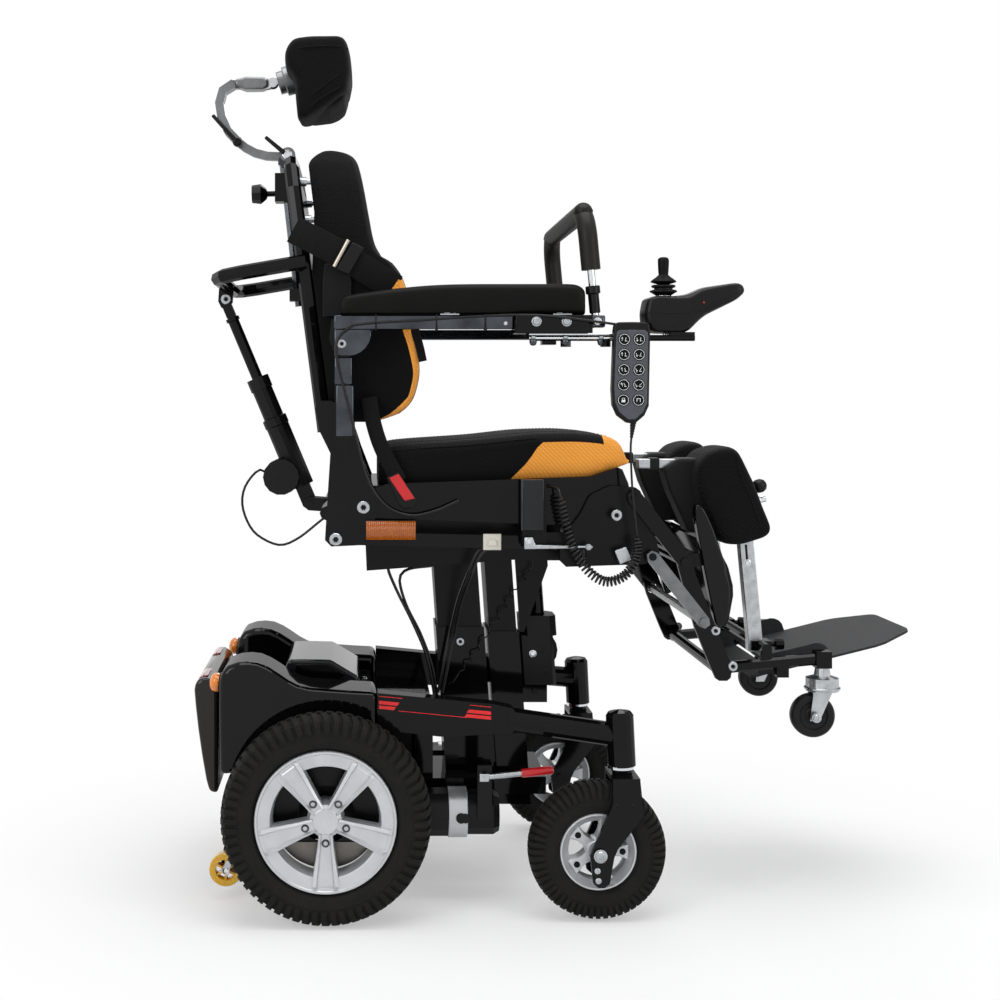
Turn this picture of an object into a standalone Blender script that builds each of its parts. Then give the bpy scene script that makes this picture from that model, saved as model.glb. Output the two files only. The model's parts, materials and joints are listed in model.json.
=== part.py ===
# Powered wheelchair that lifts its rider and stands them up.
# The measuring frame has the rear axle at X = 0, the chair's front along +X,
# its left side along +Y and the ground at Z = 0. Lengths are metres.

import math

import bmesh
import bpy
from mathutils import Matrix, Vector

# Shared clearances and thicknesses
GAP = 0.0003
RUNNING = 0.0006
PLATE = 0.0097
PIN_FIT = 0.0001
OPEN_FIT = 0.0015
SHEET = 0.003
PIN_SIDES = 8

# Overall stance
REAR_COVER_BACK = -0.225
FOOTPLATE_FRONT = 1.010
MAST_LEAN = math.radians(4.0)
SEAT_RISE = math.radians(4.2)

# Rear wheels
REAR_WHEEL_RADIUS = 0.170
REAR_TYRE_WIDTH = 0.075
REAR_TRACK_HALF = 0.290
REAR_RIM_RADIUS = 0.114
REAR_WINDOW_RADIUS = 0.088
REAR_HUB_RADIUS = 0.036
REAR_SPOKES = 5
AXLE_RADIUS = 0.010

# Front casters
CASTER_RADIUS = 0.112
CASTER_TYRE_WIDTH = 0.062
CASTER_RIM_RADIUS = 0.062
CASTER_TRACK_HALF = 0.260
CASTER_HEAD_X = 0.4786
CASTER_HEAD_TOP = 0.329
CASTER_HEAD_BOTTOM = 0.247
CASTER_LEAN = math.radians(2.65)
CASTER_TRAIL = 0.048
HEAD_RADIUS = 0.0225
FORK_CROWN_BOTTOM = 0.188
FORK_CROWN_TOP = 0.235
FORK_BLADE = 0.008

# Anti-tip wheels
ANTITIP_X = -0.172
ANTITIP_RADIUS = 0.029
ANTITIP_HEIGHT = 0.050
ANTITIP_Y = 0.165
ANTITIP_WIDTH = 0.022

# Chassis
RAIL_OUT = 0.125
RAIL_WIDTH = 0.040
RAIL_BOTTOM = 0.153
RAIL_TOP = 0.193
RAIL_REAR = -0.150
RAIL_FRONT = 0.290
ARM_TYRE_GAP = 0.0075
ARM_OUT = REAR_TRACK_HALF - REAR_TYRE_WIDTH / 2 - ARM_TYRE_GAP
ARM_THICK = 0.034
DECK_HALF = 0.130

# Lift column, at the height where the fixed sleeves end
SLEEVE_TOP = 0.443
SLEEVE_BOTTOM = 0.130
SLEEVE_HALF_WIDTH = 0.055
SLEEVE_WALL = 0.003
REAR_SLEEVE = (0.188, 0.273)
FRONT_SLEEVE = (0.2785, 0.334)
MAST_OVERLAP = 0.100
ACTUATOR_X = 0.372
LIFT_TUBE_RADIUS = 0.015
LIFT_ROD_RADIUS = 0.010

# Seat, carriage and their pivots
KNEE = (0.4758, 0.6562)
SEAT_REAR_PIVOT = (0.0605, 0.6657)
LINK_REAR_PIVOT = (0.0146, 0.6127)
RECLINE_PIVOT = (0.033, 0.743)
SEAT_HALF = 0.200
LINK_INNER = 0.193
SEAT_PLATE_IN = 0.203
CARRIER_PLATE_IN = 0.213
LEG_ARM_IN = 0.223
LEG_BAR_IN = 0.233
BOX_HALF = 0.120
BOX_REAR = 0.064
BOX_FRONT = 0.365
BOX_BOTTOM = 0.549
BOX_TOP = 0.662
PIVOT_RADIUS = 0.006

# Back, recline actuator and headrest
BACK_TUBE_Y = 0.180
BACK_TUBE_RADIUS = 0.0125
PUSH_BAR_Y = 0.200
RECLINE_FOOT = (-0.0357, 0.6575)
RECLINE_HEAD = (-0.1877, 1.0192)
STEM_TOP = (-0.084, 1.269)
STEM_BOTTOM = (-0.055, 1.011)
LOWER_ARM_PIVOT = (-0.075, 1.282)
UPPER_ARM_PIVOT = (-0.165, 1.307)
HEAD_KNUCKLE = (-0.121, 1.409)
HEAD_PAD_HALF = 0.130

# Armrests and controls
ARM_Y = 0.240
ARM_PIVOT = (0.025, 0.9356)
ARM_PAD_WIDTH = 0.048
ARM_PAD_X = (0.022, 0.425)
ARM_PAD_Z = (0.983, 1.036)
ARM_TUBE_RADIUS = 0.0095
GRAB_X = 0.4375
GRAB_BOTTOM = 0.962
GRAB_ROD_RADIUS = 0.010
GRAB_FOAM_RADIUS = 0.016

# Legs
LEG_KNEE_PIVOT = (0.5082, 0.6829)
LEG_LINK = (0.0844, -0.1076)
LEG_LOWER_PIVOT = (0.5363, 0.5852)
KNEE_PAD_Y = 0.130
LEG_TUBE_Y = 0.180
FOOTPLATE_HALF = 0.148
FOOTPLATE_HINGE = (0.765, 0.3836)
FOOT_ANGLE = math.radians(14.0)
SMALL_SWIVEL_X = 0.833
SMALL_TRAIL = 0.017
SMALL_WHEEL_RADIUS = 0.037
SMALL_WHEEL_Z = 0.313

SIDES = {"right": -1, "left": 1}
PLANES = {"xz": "xzy", "xy": "xyz", "yz": "yzx"}


# Scene and materials


def clear_scene():
    for item in list(bpy.data.objects):
        bpy.data.objects.remove(item, do_unlink=True)


def linear(channel):
    if channel <= 0.04045:
        return channel / 12.92
    return ((channel + 0.055) / 1.055) ** 2.4


def make_material(name, colour, roughness, metallic=0.0):
    found = bpy.data.materials.get(name)
    if found:
        return found
    made = bpy.data.materials.new(name)
    made.use_nodes = True
    shader = made.node_tree.nodes["Principled BSDF"]
    channels = [linear(int(colour[i : i + 2], 16) / 255) for i in (0, 2, 4)]
    shader.inputs["Base Color"].default_value = (*channels, 1)
    shader.inputs["Roughness"].default_value = roughness
    shader.inputs["Metallic"].default_value = metallic
    made.diffuse_color = (*channels, 1)
    return made


def black_paint():
    return make_material("black_paint", "101012", 0.25)


def black_anodised():
    return make_material("black_anodised", "141416", 0.3, 0.5)


def gloss_shell():
    return make_material("gloss_shell", "0b0b0d", 0.12)


def grey_cover():
    return make_material("grey_cover", "8d8f92", 0.5)


def silver_alloy():
    return make_material("silver_alloy", "c3c6ca", 0.35, 0.9)


def zinc_steel():
    return make_material("zinc_steel", "a9acae", 0.3, 1.0)


def tyre_rubber():
    return make_material("tyre_rubber", "1a1a1b", 0.8)


def black_plastic():
    return make_material("black_plastic", "171718", 0.45)


def black_fabric():
    return make_material("black_fabric", "121213", 0.9)


def black_foam():
    return make_material("black_foam", "161617", 0.85)


def grey_arm():
    return make_material("grey_arm", "6b6d70", 0.4, 0.3)


def yellow_polyurethane():
    return make_material("yellow_polyurethane", "f0b400", 0.35)


def red_grip():
    return make_material("red_grip", "c81e1e", 0.4)


def grit_sheet():
    return make_material("grit_sheet", "1c1c1d", 0.95)


def cord_rubber():
    return make_material("cord_rubber", "0e0e0f", 0.5)


# Solids


def as_object(mesh_maker):
    mesh = bpy.data.meshes.new("solid")
    bmesh.ops.recalc_face_normals(mesh_maker, faces=mesh_maker.faces)
    mesh_maker.to_mesh(mesh)
    mesh_maker.free()
    made = bpy.data.objects.new("solid", mesh)
    bpy.context.scene.collection.objects.link(made)
    return made


def prism(outline, plane, low, high):
    first, second, depth = ("xyz".index(letter) for letter in PLANES[plane])
    maker = bmesh.new()
    base = []
    for a, b in outline:
        point = [0.0, 0.0, 0.0]
        point[first] = a
        point[second] = b
        point[depth] = min(low, high)
        base.append(maker.verts.new(point))
    face = maker.faces.new(base)
    grown = bmesh.ops.extrude_face_region(maker, geom=[face])["geom"]
    step = [0.0, 0.0, 0.0]
    step[depth] = abs(high - low)
    moved = [item for item in grown if isinstance(item, bmesh.types.BMVert)]
    bmesh.ops.translate(maker, vec=step, verts=moved)
    return as_object(maker)


def box(x, y, z):
    low_y, high_y = sorted(y)
    outline = [(x[0], low_y), (x[1], low_y), (x[1], high_y), (x[0], high_y)]
    return prism(outline, "xy", z[0], z[1])


def direction_matrix(centre, axis):
    turn = Vector(axis).normalized().to_track_quat("Z", "Y").to_matrix().to_4x4()
    return Matrix.Translation(Vector(centre)) @ turn


def turned(profile, centre, axis, sides=12, ring=False):
    """A body of revolution: profile holds (distance along the axis, radius)."""
    maker = bmesh.new()
    loops = []
    for along, radius in profile:
        if radius == 0:
            loops.append([maker.verts.new((0, 0, along))])
            continue
        loop = []
        for i in range(sides):
            angle = 2 * math.pi * i / sides
            place = (radius * math.cos(angle), radius * math.sin(angle), along)
            loop.append(maker.verts.new(place))
        loops.append(loop)
    pairs = list(zip(loops, loops[1:]))
    if ring:
        pairs.append((loops[-1], loops[0]))
    for here, there in pairs:
        for i in range(sides):
            j = (i + 1) % sides
            if len(here) == 1:
                maker.faces.new((here[0], there[i], there[j]))
            elif len(there) == 1:
                maker.faces.new((here[i], here[j], there[0]))
            else:
                maker.faces.new((here[i], here[j], there[j], there[i]))
    bmesh.ops.transform(maker, matrix=direction_matrix(centre, axis), verts=maker.verts)
    return as_object(maker)


def rod(start, end, radius, sides=PIN_SIDES, chamfer=0.0):
    along = Vector(end) - Vector(start)
    length = along.length
    profile = [(0, 0), (0, radius - chamfer)]
    if chamfer:
        profile += [(chamfer, radius), (length - chamfer, radius)]
    profile += [(length, radius - chamfer), (length, 0)]
    return turned(profile, start, along, sides)


def cross_rod(point, y_from, y_to, radius, sides=PIN_SIDES, chamfer=0.0):
    """A rod along Y through a point of the side view."""
    low, high = sorted((y_from, y_to))
    return rod((point[0], low, point[1]), (point[0], high, point[1]), radius, sides, chamfer)


def bend(points, radius, steps=2):
    """The route through these points with its corners turned to arcs."""
    points = [Vector(point) for point in points]
    route = [points[0]]
    for before, corner, after in zip(points, points[1:], points[2:]):
        inward = (before - corner).normalized()
        outward = (after - corner).normalized()
        half = inward.angle(outward) / 2
        reach = min(radius / math.tan(half), 0.49 * (before - corner).length)
        reach = min(reach, 0.49 * (after - corner).length)
        turn = reach * math.tan(half)
        middle = corner + (inward + outward).normalized() * turn / math.sin(half)
        first = corner + inward * reach - middle
        last = corner + outward * reach - middle
        for i in range(steps + 1):
            spoke = first.normalized().slerp(last.normalized(), i / steps)
            route.append(middle + spoke.normalized() * turn)
    route.append(points[-1])
    return route


def rounded(outline, radius, steps=1):
    """A closed flat outline with its corners turned to arcs."""
    count = len(outline)
    radii = radius if isinstance(radius, (list, tuple)) else [radius] * count
    result = []
    for i, corner in enumerate(outline):
        if not radii[i]:
            result.append(tuple(corner))
            continue
        trio = (outline[i - 1], corner, outline[(i + 1) % count])
        flat = [Vector((a, b, 0)) for a, b in trio]
        arc = bend(flat, radii[i], steps)[1:-1]
        result += [(point.x, point.y) for point in arc]
    return result


def tube(route, radius, resolution=2, closed=False):
    """A round tube along a route, as a curve with a bevel and filled caps."""
    curve = bpy.data.curves.new("route", "CURVE")
    curve.dimensions = "3D"
    curve.bevel_depth = radius
    curve.bevel_resolution = resolution
    curve.use_fill_caps = not closed
    spline = curve.splines.new("POLY")
    spline.points.add(len(route) - 1)
    for point, place in zip(spline.points, route):
        point.co = (*place, 1)
    spline.use_cyclic_u = closed
    made = bpy.data.objects.new("tube", curve)
    bpy.context.scene.collection.objects.link(made)
    return solid_mesh(made)


def solid_mesh(source):
    """The evaluated mesh of an object, as a new object that replaces it."""
    graph = bpy.context.evaluated_depsgraph_get()
    mesh = bpy.data.meshes.new_from_object(source.evaluated_get(graph))
    place = source.matrix_world.copy()
    bpy.data.objects.remove(source, do_unlink=True)
    mesh.transform(place)
    maker = bmesh.new()
    maker.from_mesh(mesh)
    bmesh.ops.remove_doubles(maker, verts=maker.verts, dist=0.00001)
    return as_object(maker)


def combine(base, tool, operation):
    change = base.modifiers.new("change", "BOOLEAN")
    change.operation = operation
    change.solver = "EXACT"
    change.object = tool
    result = solid_mesh(base)
    bpy.data.objects.remove(tool, do_unlink=True)
    return result


def fuse(solids):
    whole = solids[0]
    for other in solids[1:]:
        whole = combine(whole, other, "UNION")
    return whole


def cut(base, tools):
    for tool in tools:
        base = combine(base, tool, "DIFFERENCE")
    return base


def merge_flats(solid):
    """Join the faces of each flat area, which Booleans leave in pieces."""
    maker = bmesh.new()
    maker.from_mesh(solid.data)
    bmesh.ops.dissolve_limit(maker, angle_limit=0.002, verts=maker.verts, edges=maker.edges)
    maker.to_mesh(solid.data)
    maker.free()


def finish(name, solid, material, origin, smooth_angle=35):
    """Name a solid, give it a material and set its origin, in the measuring frame."""
    merge_flats(solid)
    solid.name = name
    solid.data.name = name
    place = Vector(origin)
    solid.data.transform(Matrix.Translation(-place))
    solid.location = place
    solid.parent = frame_empty
    solid.data.materials.clear()
    solid.data.materials.append(material)
    solid.data.shade_smooth()
    solid.data.set_sharp_from_angle(angle=math.radians(smooth_angle))
    return solid


def side_point(point, y=0.0):
    return (point[0], y, point[1])


def leaned(x, height):
    """X at another height along the leaning lift axis of something that is at x at the sleeve top."""
    return x - (height - SLEEVE_TOP) * math.tan(MAST_LEAN)


def lean(solid):
    """Shear a solid along X so that it follows the leaning lift axis."""
    for vertex in solid.data.vertices:
        vertex.co.x = leaned(vertex.co.x, vertex.co.z)
    return solid


def lean_box(x, y, z):
    return lean(box(x, y, z))


# Wheels


def tyre(name, centre, radius, rim_radius, width, sides):
    """A tyre that stands on the flat of a facet, so its radii are those of the flats."""
    half = width / 2
    bead = rim_radius + GAP
    wall = radius - rim_radius
    profile = [
        (-0.62 * half, bead),
        (-half, bead + 0.35 * wall),
        (-0.86 * half, bead + 0.80 * wall),
        (-0.35 * half, radius),
        (0.35 * half, radius),
        (0.86 * half, bead + 0.80 * wall),
        (half, bead + 0.35 * wall),
        (0.62 * half, bead),
    ]
    flats = [(along, distance / math.cos(math.pi / sides)) for along, distance in profile]
    solid = turned(flats, centre, (0, 1, 0), sides, ring=True)
    finish(name, solid, tyre_rubber(), centre)


def window(centre, angle, inner, outer, inner_half, outer_half, low, high):
    """A cutter for the opening between two spokes, seen from the side."""
    corners = []
    for share in (-1, 1):
        turn = angle + share * inner_half
        corners.append((inner, turn))
    for share in (1, 0, -1):
        turn = angle + share * outer_half
        corners.append((outer, turn))
    outline = [(centre[0] + r * math.sin(t), centre[2] + r * math.cos(t)) for r, t in corners]
    return prism(outline, "xz", low, high)


def rear_rim(name, s):
    centre = (0, s * REAR_TRACK_HALF, REAR_WHEEL_RADIUS)
    outward = (0, s, 0)
    lip = 0.033
    band_in = REAR_RIM_RADIUS - 0.010
    boss_back = -(REAR_TYRE_WIDTH / 2 - 0.001)
    bore = AXLE_RADIUS + GAP
    profile = [
        (lip, REAR_RIM_RADIUS),
        (-lip, REAR_RIM_RADIUS),
        (-lip, band_in),
        (0.008, band_in),
        (0.010, REAR_HUB_RADIUS - 0.006),
        (boss_back, 0.026),
        (boss_back, bore),
        (0.006, bore),
        (0.006, 0.004),
        (0.026, 0.004),
        (0.024, REAR_HUB_RADIUS),
        (0.020, band_in),
        (lip, band_in + 0.004),
    ]
    rim = turned(profile, centre, outward, 15, ring=True)
    spacing = 2 * math.pi / REAR_SPOKES
    cutters = []
    for i in range(REAR_SPOKES):
        angle = i * spacing
        cutters.append(
            window(
                centre,
                angle,
                REAR_HUB_RADIUS + 0.008,
                REAR_WINDOW_RADIUS,
                math.radians(13),
                math.radians(26),
                centre[1] - 0.05,
                centre[1] + 0.05,
            )
        )
    finish(name, cut(rim, cutters), silver_alloy(), centre)


def drive_motor(name, s):
    gearbox_in = RAIL_OUT + GAP
    gearbox_out = REAR_TRACK_HALF - 0.054
    middle = (0, 0, REAR_WHEEL_RADIUS)
    outline = rounded(
        [(-0.045, 0.122), (0.105, 0.110), (0.105, 0.188), (0.02, 0.212), (-0.045, 0.212)], 0.015
    )
    gearbox = prism(outline, "xz", s * gearbox_in, s * gearbox_out)
    hub_back = REAR_TRACK_HALF - REAR_TYRE_WIDTH / 2
    boss = cross_rod(
        middle[::2], s * (gearbox_out - 0.004), s * (hub_back - RUNNING + 0.001), 0.026
    )
    axle = cross_rod(
        middle[::2], s * (gearbox_out - 0.004), s * (REAR_TRACK_HALF + 0.004), AXLE_RADIUS
    )
    motor_y = s * (RAIL_OUT + 0.047)
    can = turned(
        [
            (0, 0),
            (0, 0.041),
            (0.128, 0.041),
            (0.130, 0.038),
            (0.176, 0.038),
            (0.186, 0.032),
            (0.186, 0),
        ],
        (0.102, motor_y, 0.148),
        (1, 0, 0),
    )
    plug = rod((0.230, motor_y + s * 0.030, 0.148), (0.230, motor_y + s * 0.046, 0.148), 0.008)
    ear = box((0.250, 0.274), (s * 0.206, s * 0.2155), (0.146, 0.236))
    lever_pin = cross_rod((0.262, 0.222), s * 0.210, s * 0.2285, 0.004)
    finish(
        name,
        fuse([gearbox, boss, axle, can, plug, ear, lever_pin]),
        black_plastic(),
        (0, s * gearbox_out, REAR_WHEEL_RADIUS),
    )


def caster_axis_x(height):
    return CASTER_HEAD_X + (CASTER_HEAD_TOP - height) * math.tan(CASTER_LEAN)


def caster_wheel_centre(s):
    return (caster_axis_x(CASTER_RADIUS) - CASTER_TRAIL, s * CASTER_TRACK_HALF, CASTER_RADIUS)


def caster_rim(name, s):
    centre = caster_wheel_centre(s)
    outward = (0, s, 0)
    lip = 0.022
    profile = [
        (-lip, CASTER_RIM_RADIUS),
        (-lip, CASTER_RIM_RADIUS - 0.007),
        (-0.008, CASTER_RIM_RADIUS - 0.014),
        (-0.020, 0.018),
        (-0.020, AXLE_RADIUS - 0.004 + GAP),
        (0.020, AXLE_RADIUS - 0.004 + GAP),
        (0.020, 0.018),
        (0.008, CASTER_RIM_RADIUS - 0.014),
        (lip, CASTER_RIM_RADIUS - 0.007),
        (lip, CASTER_RIM_RADIUS),
    ]
    rim = turned(profile, centre, outward, 12, ring=True)
    cutters = []
    for i in range(4):
        angle = math.radians(45 + 90 * i)
        cutters.append(
            window(
                centre,
                angle,
                0.026,
                0.044,
                math.radians(24),
                math.radians(32),
                centre[1] - 0.04,
                centre[1] + 0.04,
            )
        )
    finish(name, cut(rim, cutters), silver_alloy(), centre)


def caster_fork(name, s):
    y = s * CASTER_TRACK_HALF
    wheel = caster_wheel_centre(s)
    top = (caster_axis_x(FORK_CROWN_TOP), y, FORK_CROWN_TOP)
    bottom = (caster_axis_x(FORK_CROWN_BOTTOM), y, FORK_CROWN_BOTTOM)
    head_bottom = (caster_axis_x(CASTER_HEAD_BOTTOM), y, CASTER_HEAD_BOTTOM)
    stem_end = (caster_axis_x(CASTER_HEAD_TOP - 0.008), y, CASTER_HEAD_TOP - 0.008)
    blade_in = CASTER_TYRE_WIDTH / 2 + 0.004
    blade_out = blade_in + FORK_BLADE
    tip = wheel[2] - 0.052
    outline = [
        (bottom[0] - 0.024, FORK_CROWN_TOP - 0.004),
        (bottom[0] + 0.020, FORK_CROWN_TOP - 0.004),
        (bottom[0] + 0.026, FORK_CROWN_BOTTOM - 0.012),
        (wheel[0] + 0.024, wheel[2] + 0.004),
        (wheel[0] + 0.014, tip),
        (wheel[0] - 0.010, tip),
        (wheel[0] - 0.016, wheel[2]),
        (bottom[0] - 0.024, FORK_CROWN_BOTTOM + 0.006),
    ]
    blades = []
    for way in (-1, 1):
        smooth = rounded(outline, [0, 0, 0, 0.03, 0.008, 0.008, 0, 0.02], 1)
        blades.append(prism(smooth, "xz", y + way * blade_in, y + way * blade_out))
    crown = box(
        (bottom[0] - 0.024, bottom[0] + 0.020),
        (y - blade_out, y + blade_out),
        (wheel[2] + CASTER_RADIUS + 0.004, FORK_CROWN_TOP),
    )
    spacer = rod(top, head_bottom, HEAD_RADIUS - 0.006, 14)
    spacer.data.transform(Matrix.Translation((0, 0, -GAP)))
    crown_middle = (caster_axis_x(FORK_CROWN_TOP - 0.003), y, FORK_CROWN_TOP - 0.003)
    stem = rod(crown_middle, stem_end, 0.011)
    axle = rod(
        (wheel[0], y - blade_out - 0.004, wheel[2]),
        (wheel[0], y + blade_out + 0.004, wheel[2]),
        0.006,
    )
    solid = fuse([crown, *blades, spacer, stem, axle])
    finish(name, solid, black_paint(), top)


def antitip_wheel(name, s):
    centre = (ANTITIP_X, s * ANTITIP_Y, ANTITIP_HEIGHT)
    half = ANTITIP_WIDTH / 2
    profile = [
        (-half, 0.0055),
        (-half, ANTITIP_RADIUS - 0.005),
        (-half + 0.004, ANTITIP_RADIUS),
        (half - 0.004, ANTITIP_RADIUS),
        (half, ANTITIP_RADIUS - 0.005),
        (half, 0.0055),
    ]
    finish(name, turned(profile, centre, (0, 1, 0), 12, ring=True), yellow_polyurethane(), centre)


# Chassis


def arm_tube_end(s):
    height = (CASTER_HEAD_TOP + CASTER_HEAD_BOTTOM) / 2 + 0.008
    return (caster_axis_x(height), s * CASTER_TRACK_HALF, height)


def side_arm(s):
    outline = [
        (0.0843, 0.362),
        (0.273, 0.344),
        (0.310, 0.336),
        (0.310, 0.296),
        (0.190, 0.290),
        (0.120, 0.298),
        (0.0843, 0.304),
    ]
    plate = prism(
        rounded(outline, [0, 0, 0.006, 0.006, 0.05, 0.03, 0]),
        "xz",
        s * (ARM_OUT - ARM_THICK),
        s * ARM_OUT,
    )
    start = (0.300, s * (ARM_OUT - ARM_THICK / 2), 0.316)
    pipe = rod(start, arm_tube_end(s), 0.0195, 14)
    top = (CASTER_HEAD_X, s * CASTER_TRACK_HALF, CASTER_HEAD_TOP)
    low = (caster_axis_x(CASTER_HEAD_BOTTOM), s * CASTER_TRACK_HALF, CASTER_HEAD_BOTTOM)
    upward = Vector(top) - Vector(low)
    height = upward.length
    head_profile = [
        (0, 0),
        (0, HEAD_RADIUS),
        (height, HEAD_RADIUS),
        (height + 0.006, HEAD_RADIUS - 0.004),
        (height + 0.010, 0),
    ]
    head = turned(head_profile, low, upward, 18)
    return [plate, pipe, head]


def caster_bore(s):
    low = (caster_axis_x(FORK_CROWN_TOP), s * CASTER_TRACK_HALF, FORK_CROWN_TOP)
    top_height = CASTER_HEAD_TOP - 0.005
    top = (caster_axis_x(top_height), s * CASTER_TRACK_HALF, top_height)
    return rod(low, top, (0.011 + GAP) / math.cos(math.pi / PIN_SIDES))


def antitip_bracket(s):
    inner = s * (ANTITIP_Y - ANTITIP_WIDTH / 2 - 0.006)
    outer = s * (ANTITIP_Y - ANTITIP_WIDTH / 2 - 0.001)
    outline = [
        (-0.120, 0.186),
        (-0.150, 0.186),
        (-0.170, 0.120),
        (ANTITIP_X - 0.011, ANTITIP_HEIGHT),
        (ANTITIP_X - 0.005, ANTITIP_HEIGHT - 0.010),
        (ANTITIP_X + 0.008, ANTITIP_HEIGHT - 0.010),
        (ANTITIP_X + 0.014, ANTITIP_HEIGHT + 0.01),
        (-0.130, 0.150),
    ]
    plate = prism(outline, "xz", inner, outer)
    middle = (ANTITIP_X, ANTITIP_HEIGHT)
    pin_end = s * (ANTITIP_Y + ANTITIP_WIDTH / 2 + 0.001)
    pin = cross_rod(middle, inner, pin_end + s * 0.003, 0.005)
    return [plate, pin]


def actuator_pin_x():
    return ACTUATOR_X - 0.006


def chassis_frame():
    base = box((0.170, 0.378), (-RAIL_OUT + 0.030, RAIL_OUT - 0.030), (0.158, 0.188))
    parts = [base]
    for s in SIDES.values():
        parts.append(
            box(
                (RAIL_REAR, RAIL_FRONT),
                (s * (RAIL_OUT - RAIL_WIDTH), s * RAIL_OUT),
                (RAIL_BOTTOM, RAIL_TOP),
            ),
        )
    parts.append(box((RAIL_REAR, RAIL_REAR + 0.035), (-0.151, 0.151), (0.158, 0.188)))
    parts.append(
        box((RAIL_REAR + 0.01, 0.18), (-RAIL_OUT + 0.035, RAIL_OUT - 0.035), (0.1545, 0.1585))
    )
    for s in SIDES.values():
        upright_in = RAIL_OUT - RAIL_WIDTH + 0.006
        parts.append(
            box((0.150, 0.180), (s * upright_in, s * (RAIL_OUT - 0.004)), (RAIL_TOP - 0.004, 0.300))
        )
    parts.append(
        box(
            (0.150, 0.180),
            (-(ARM_OUT - 0.010), ARM_OUT - 0.010),
            (0.2935, deck_height(0.173) - SHEET - GAP),
        ),
    )
    rear = lean_box(
        REAR_SLEEVE, (-SLEEVE_HALF_WIDTH, SLEEVE_HALF_WIDTH), (SLEEVE_BOTTOM, SLEEVE_TOP)
    )
    front = lean_box(
        FRONT_SLEEVE, (-SLEEVE_HALF_WIDTH, SLEEVE_HALF_WIDTH), (SLEEVE_BOTTOM, SLEEVE_TOP - 0.008)
    )
    tie = lean_box(
        (REAR_SLEEVE[1] - 0.002, FRONT_SLEEVE[0] + 0.002),
        (-0.040, 0.040),
        (SLEEVE_BOTTOM + 0.010, 0.260),
    )
    parts += [rear, front, tie]
    for s in SIDES.values():
        parts.append(box((0.330, 0.388), (s * 0.018, s * 0.026), (0.304, 0.3355)))
        parts += side_arm(s)
        parts += antitip_bracket(s)
    frame = fuse(parts)
    cutters = []
    for span in (REAR_SLEEVE, FRONT_SLEEVE):
        inside = (span[0] + SLEEVE_WALL, span[1] - SLEEVE_WALL)
        reach = SLEEVE_HALF_WIDTH - SLEEVE_WALL
        cutters.append(lean_box(inside, (-reach, reach), (SLEEVE_BOTTOM - 0.02, SLEEVE_TOP + 0.02)))
    cutters += [caster_bore(s) for s in SIDES.values()]
    cutters.append(cross_rod((actuator_pin_x(), 0.324), -0.03, 0.03, PIVOT_RADIUS + GAP))
    finish("chassis_frame", cut(frame, cutters), black_paint(), (0, 0, RAIL_BOTTOM))


def battery_pack():
    solid = box((RAIL_REAR + 0.040, 0.145), (-0.0845, 0.0845), (0.1585 + GAP, 0.312))
    finish("battery_pack", solid, black_plastic(), (0, 0, 0.1588))


def deck_height(x):
    return 0.3305 - (x + 0.0555) * 0.0547


def fender_outline(inset, bottom):
    outline = [
        (-0.185 + inset, bottom),
        (0.084 - inset, bottom + 0.035),
        (0.084 - inset, 0.362 - inset),
        (-0.0485, 0.367 - inset),
        (-0.085, 0.385 - inset),
        (-0.128, 0.405 - inset),
        (-0.174 + inset / 2, 0.397 - inset),
        (-0.185 + inset, 0.380 - inset),
    ]
    return rounded(outline, [0.004, 0.004, 0.004, 0.08, 0.03, 0.03, 0.010, 0.010])


def body_shell():
    parts = []
    cutters = []
    for s in SIDES.values():
        parts.append(prism(fender_outline(0, 0.222), "xz", s * DECK_HALF, s * ARM_OUT))
        inner = prism(
            fender_outline(SHEET, 0.150), "xz", s * (DECK_HALF + SHEET), s * (ARM_OUT - SHEET)
        )
        cutters.append(inner)
    low = -0.105
    deck = prism(
        [
            (low, deck_height(low) - SHEET),
            (0.173, deck_height(0.173) - SHEET),
            (0.173, deck_height(0.173)),
            (low, deck_height(low)),
        ],
        "xz",
        -DECK_HALF - 0.001,
        DECK_HALF + 0.001,
    )
    wing_in = ARM_OUT - ARM_THICK - GAP
    wings = prism(
        [
            (0.082, deck_height(0.082) - SHEET),
            (0.173, deck_height(0.173) - SHEET),
            (0.173, deck_height(0.173)),
            (0.082, deck_height(0.082)),
        ],
        "xz",
        -wing_in,
        wing_in,
    )
    shell = cut(fuse(parts[:1]), cutters[:1])
    other = cut(parts[1], cutters[1:])
    whole = fuse([shell, deck, other, wings])
    domes = []
    for s in SIDES.values():
        profile = [(0, 0), (0, 0.016), (0.006, 0.0155), (0.012, 0.011), (0.0155, 0)]
        domes.append(turned(profile, (-0.182, s * 0.19, 0.366), (-1, 0, 0.35), 12))
    finish("body_shell", fuse([whole, *domes]), gloss_shell(), (0, 0, 0.30))


def battery_cover():
    rise = GAP
    outline = [
        (-0.079, deck_height(-0.079) + rise),
        (0.0525, deck_height(0.0525) + rise),
        (0.040, 0.376),
        (0.028, 0.381),
        (-0.036, 0.383),
        (-0.050, 0.376),
    ]
    solid = prism(rounded(outline, [0, 0, 0.006, 0.01, 0.01, 0.01], 2), "xz", -0.105, 0.105)
    slot = prism(
        [(-0.020, 0.350), (0.020, 0.350), (0.016, 0.368), (-0.016, 0.368)], "xz", -0.2, 0.2
    )
    finish("battery_cover", cut(solid, [slot]), grey_cover(), (0, 0, 0.333))


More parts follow.
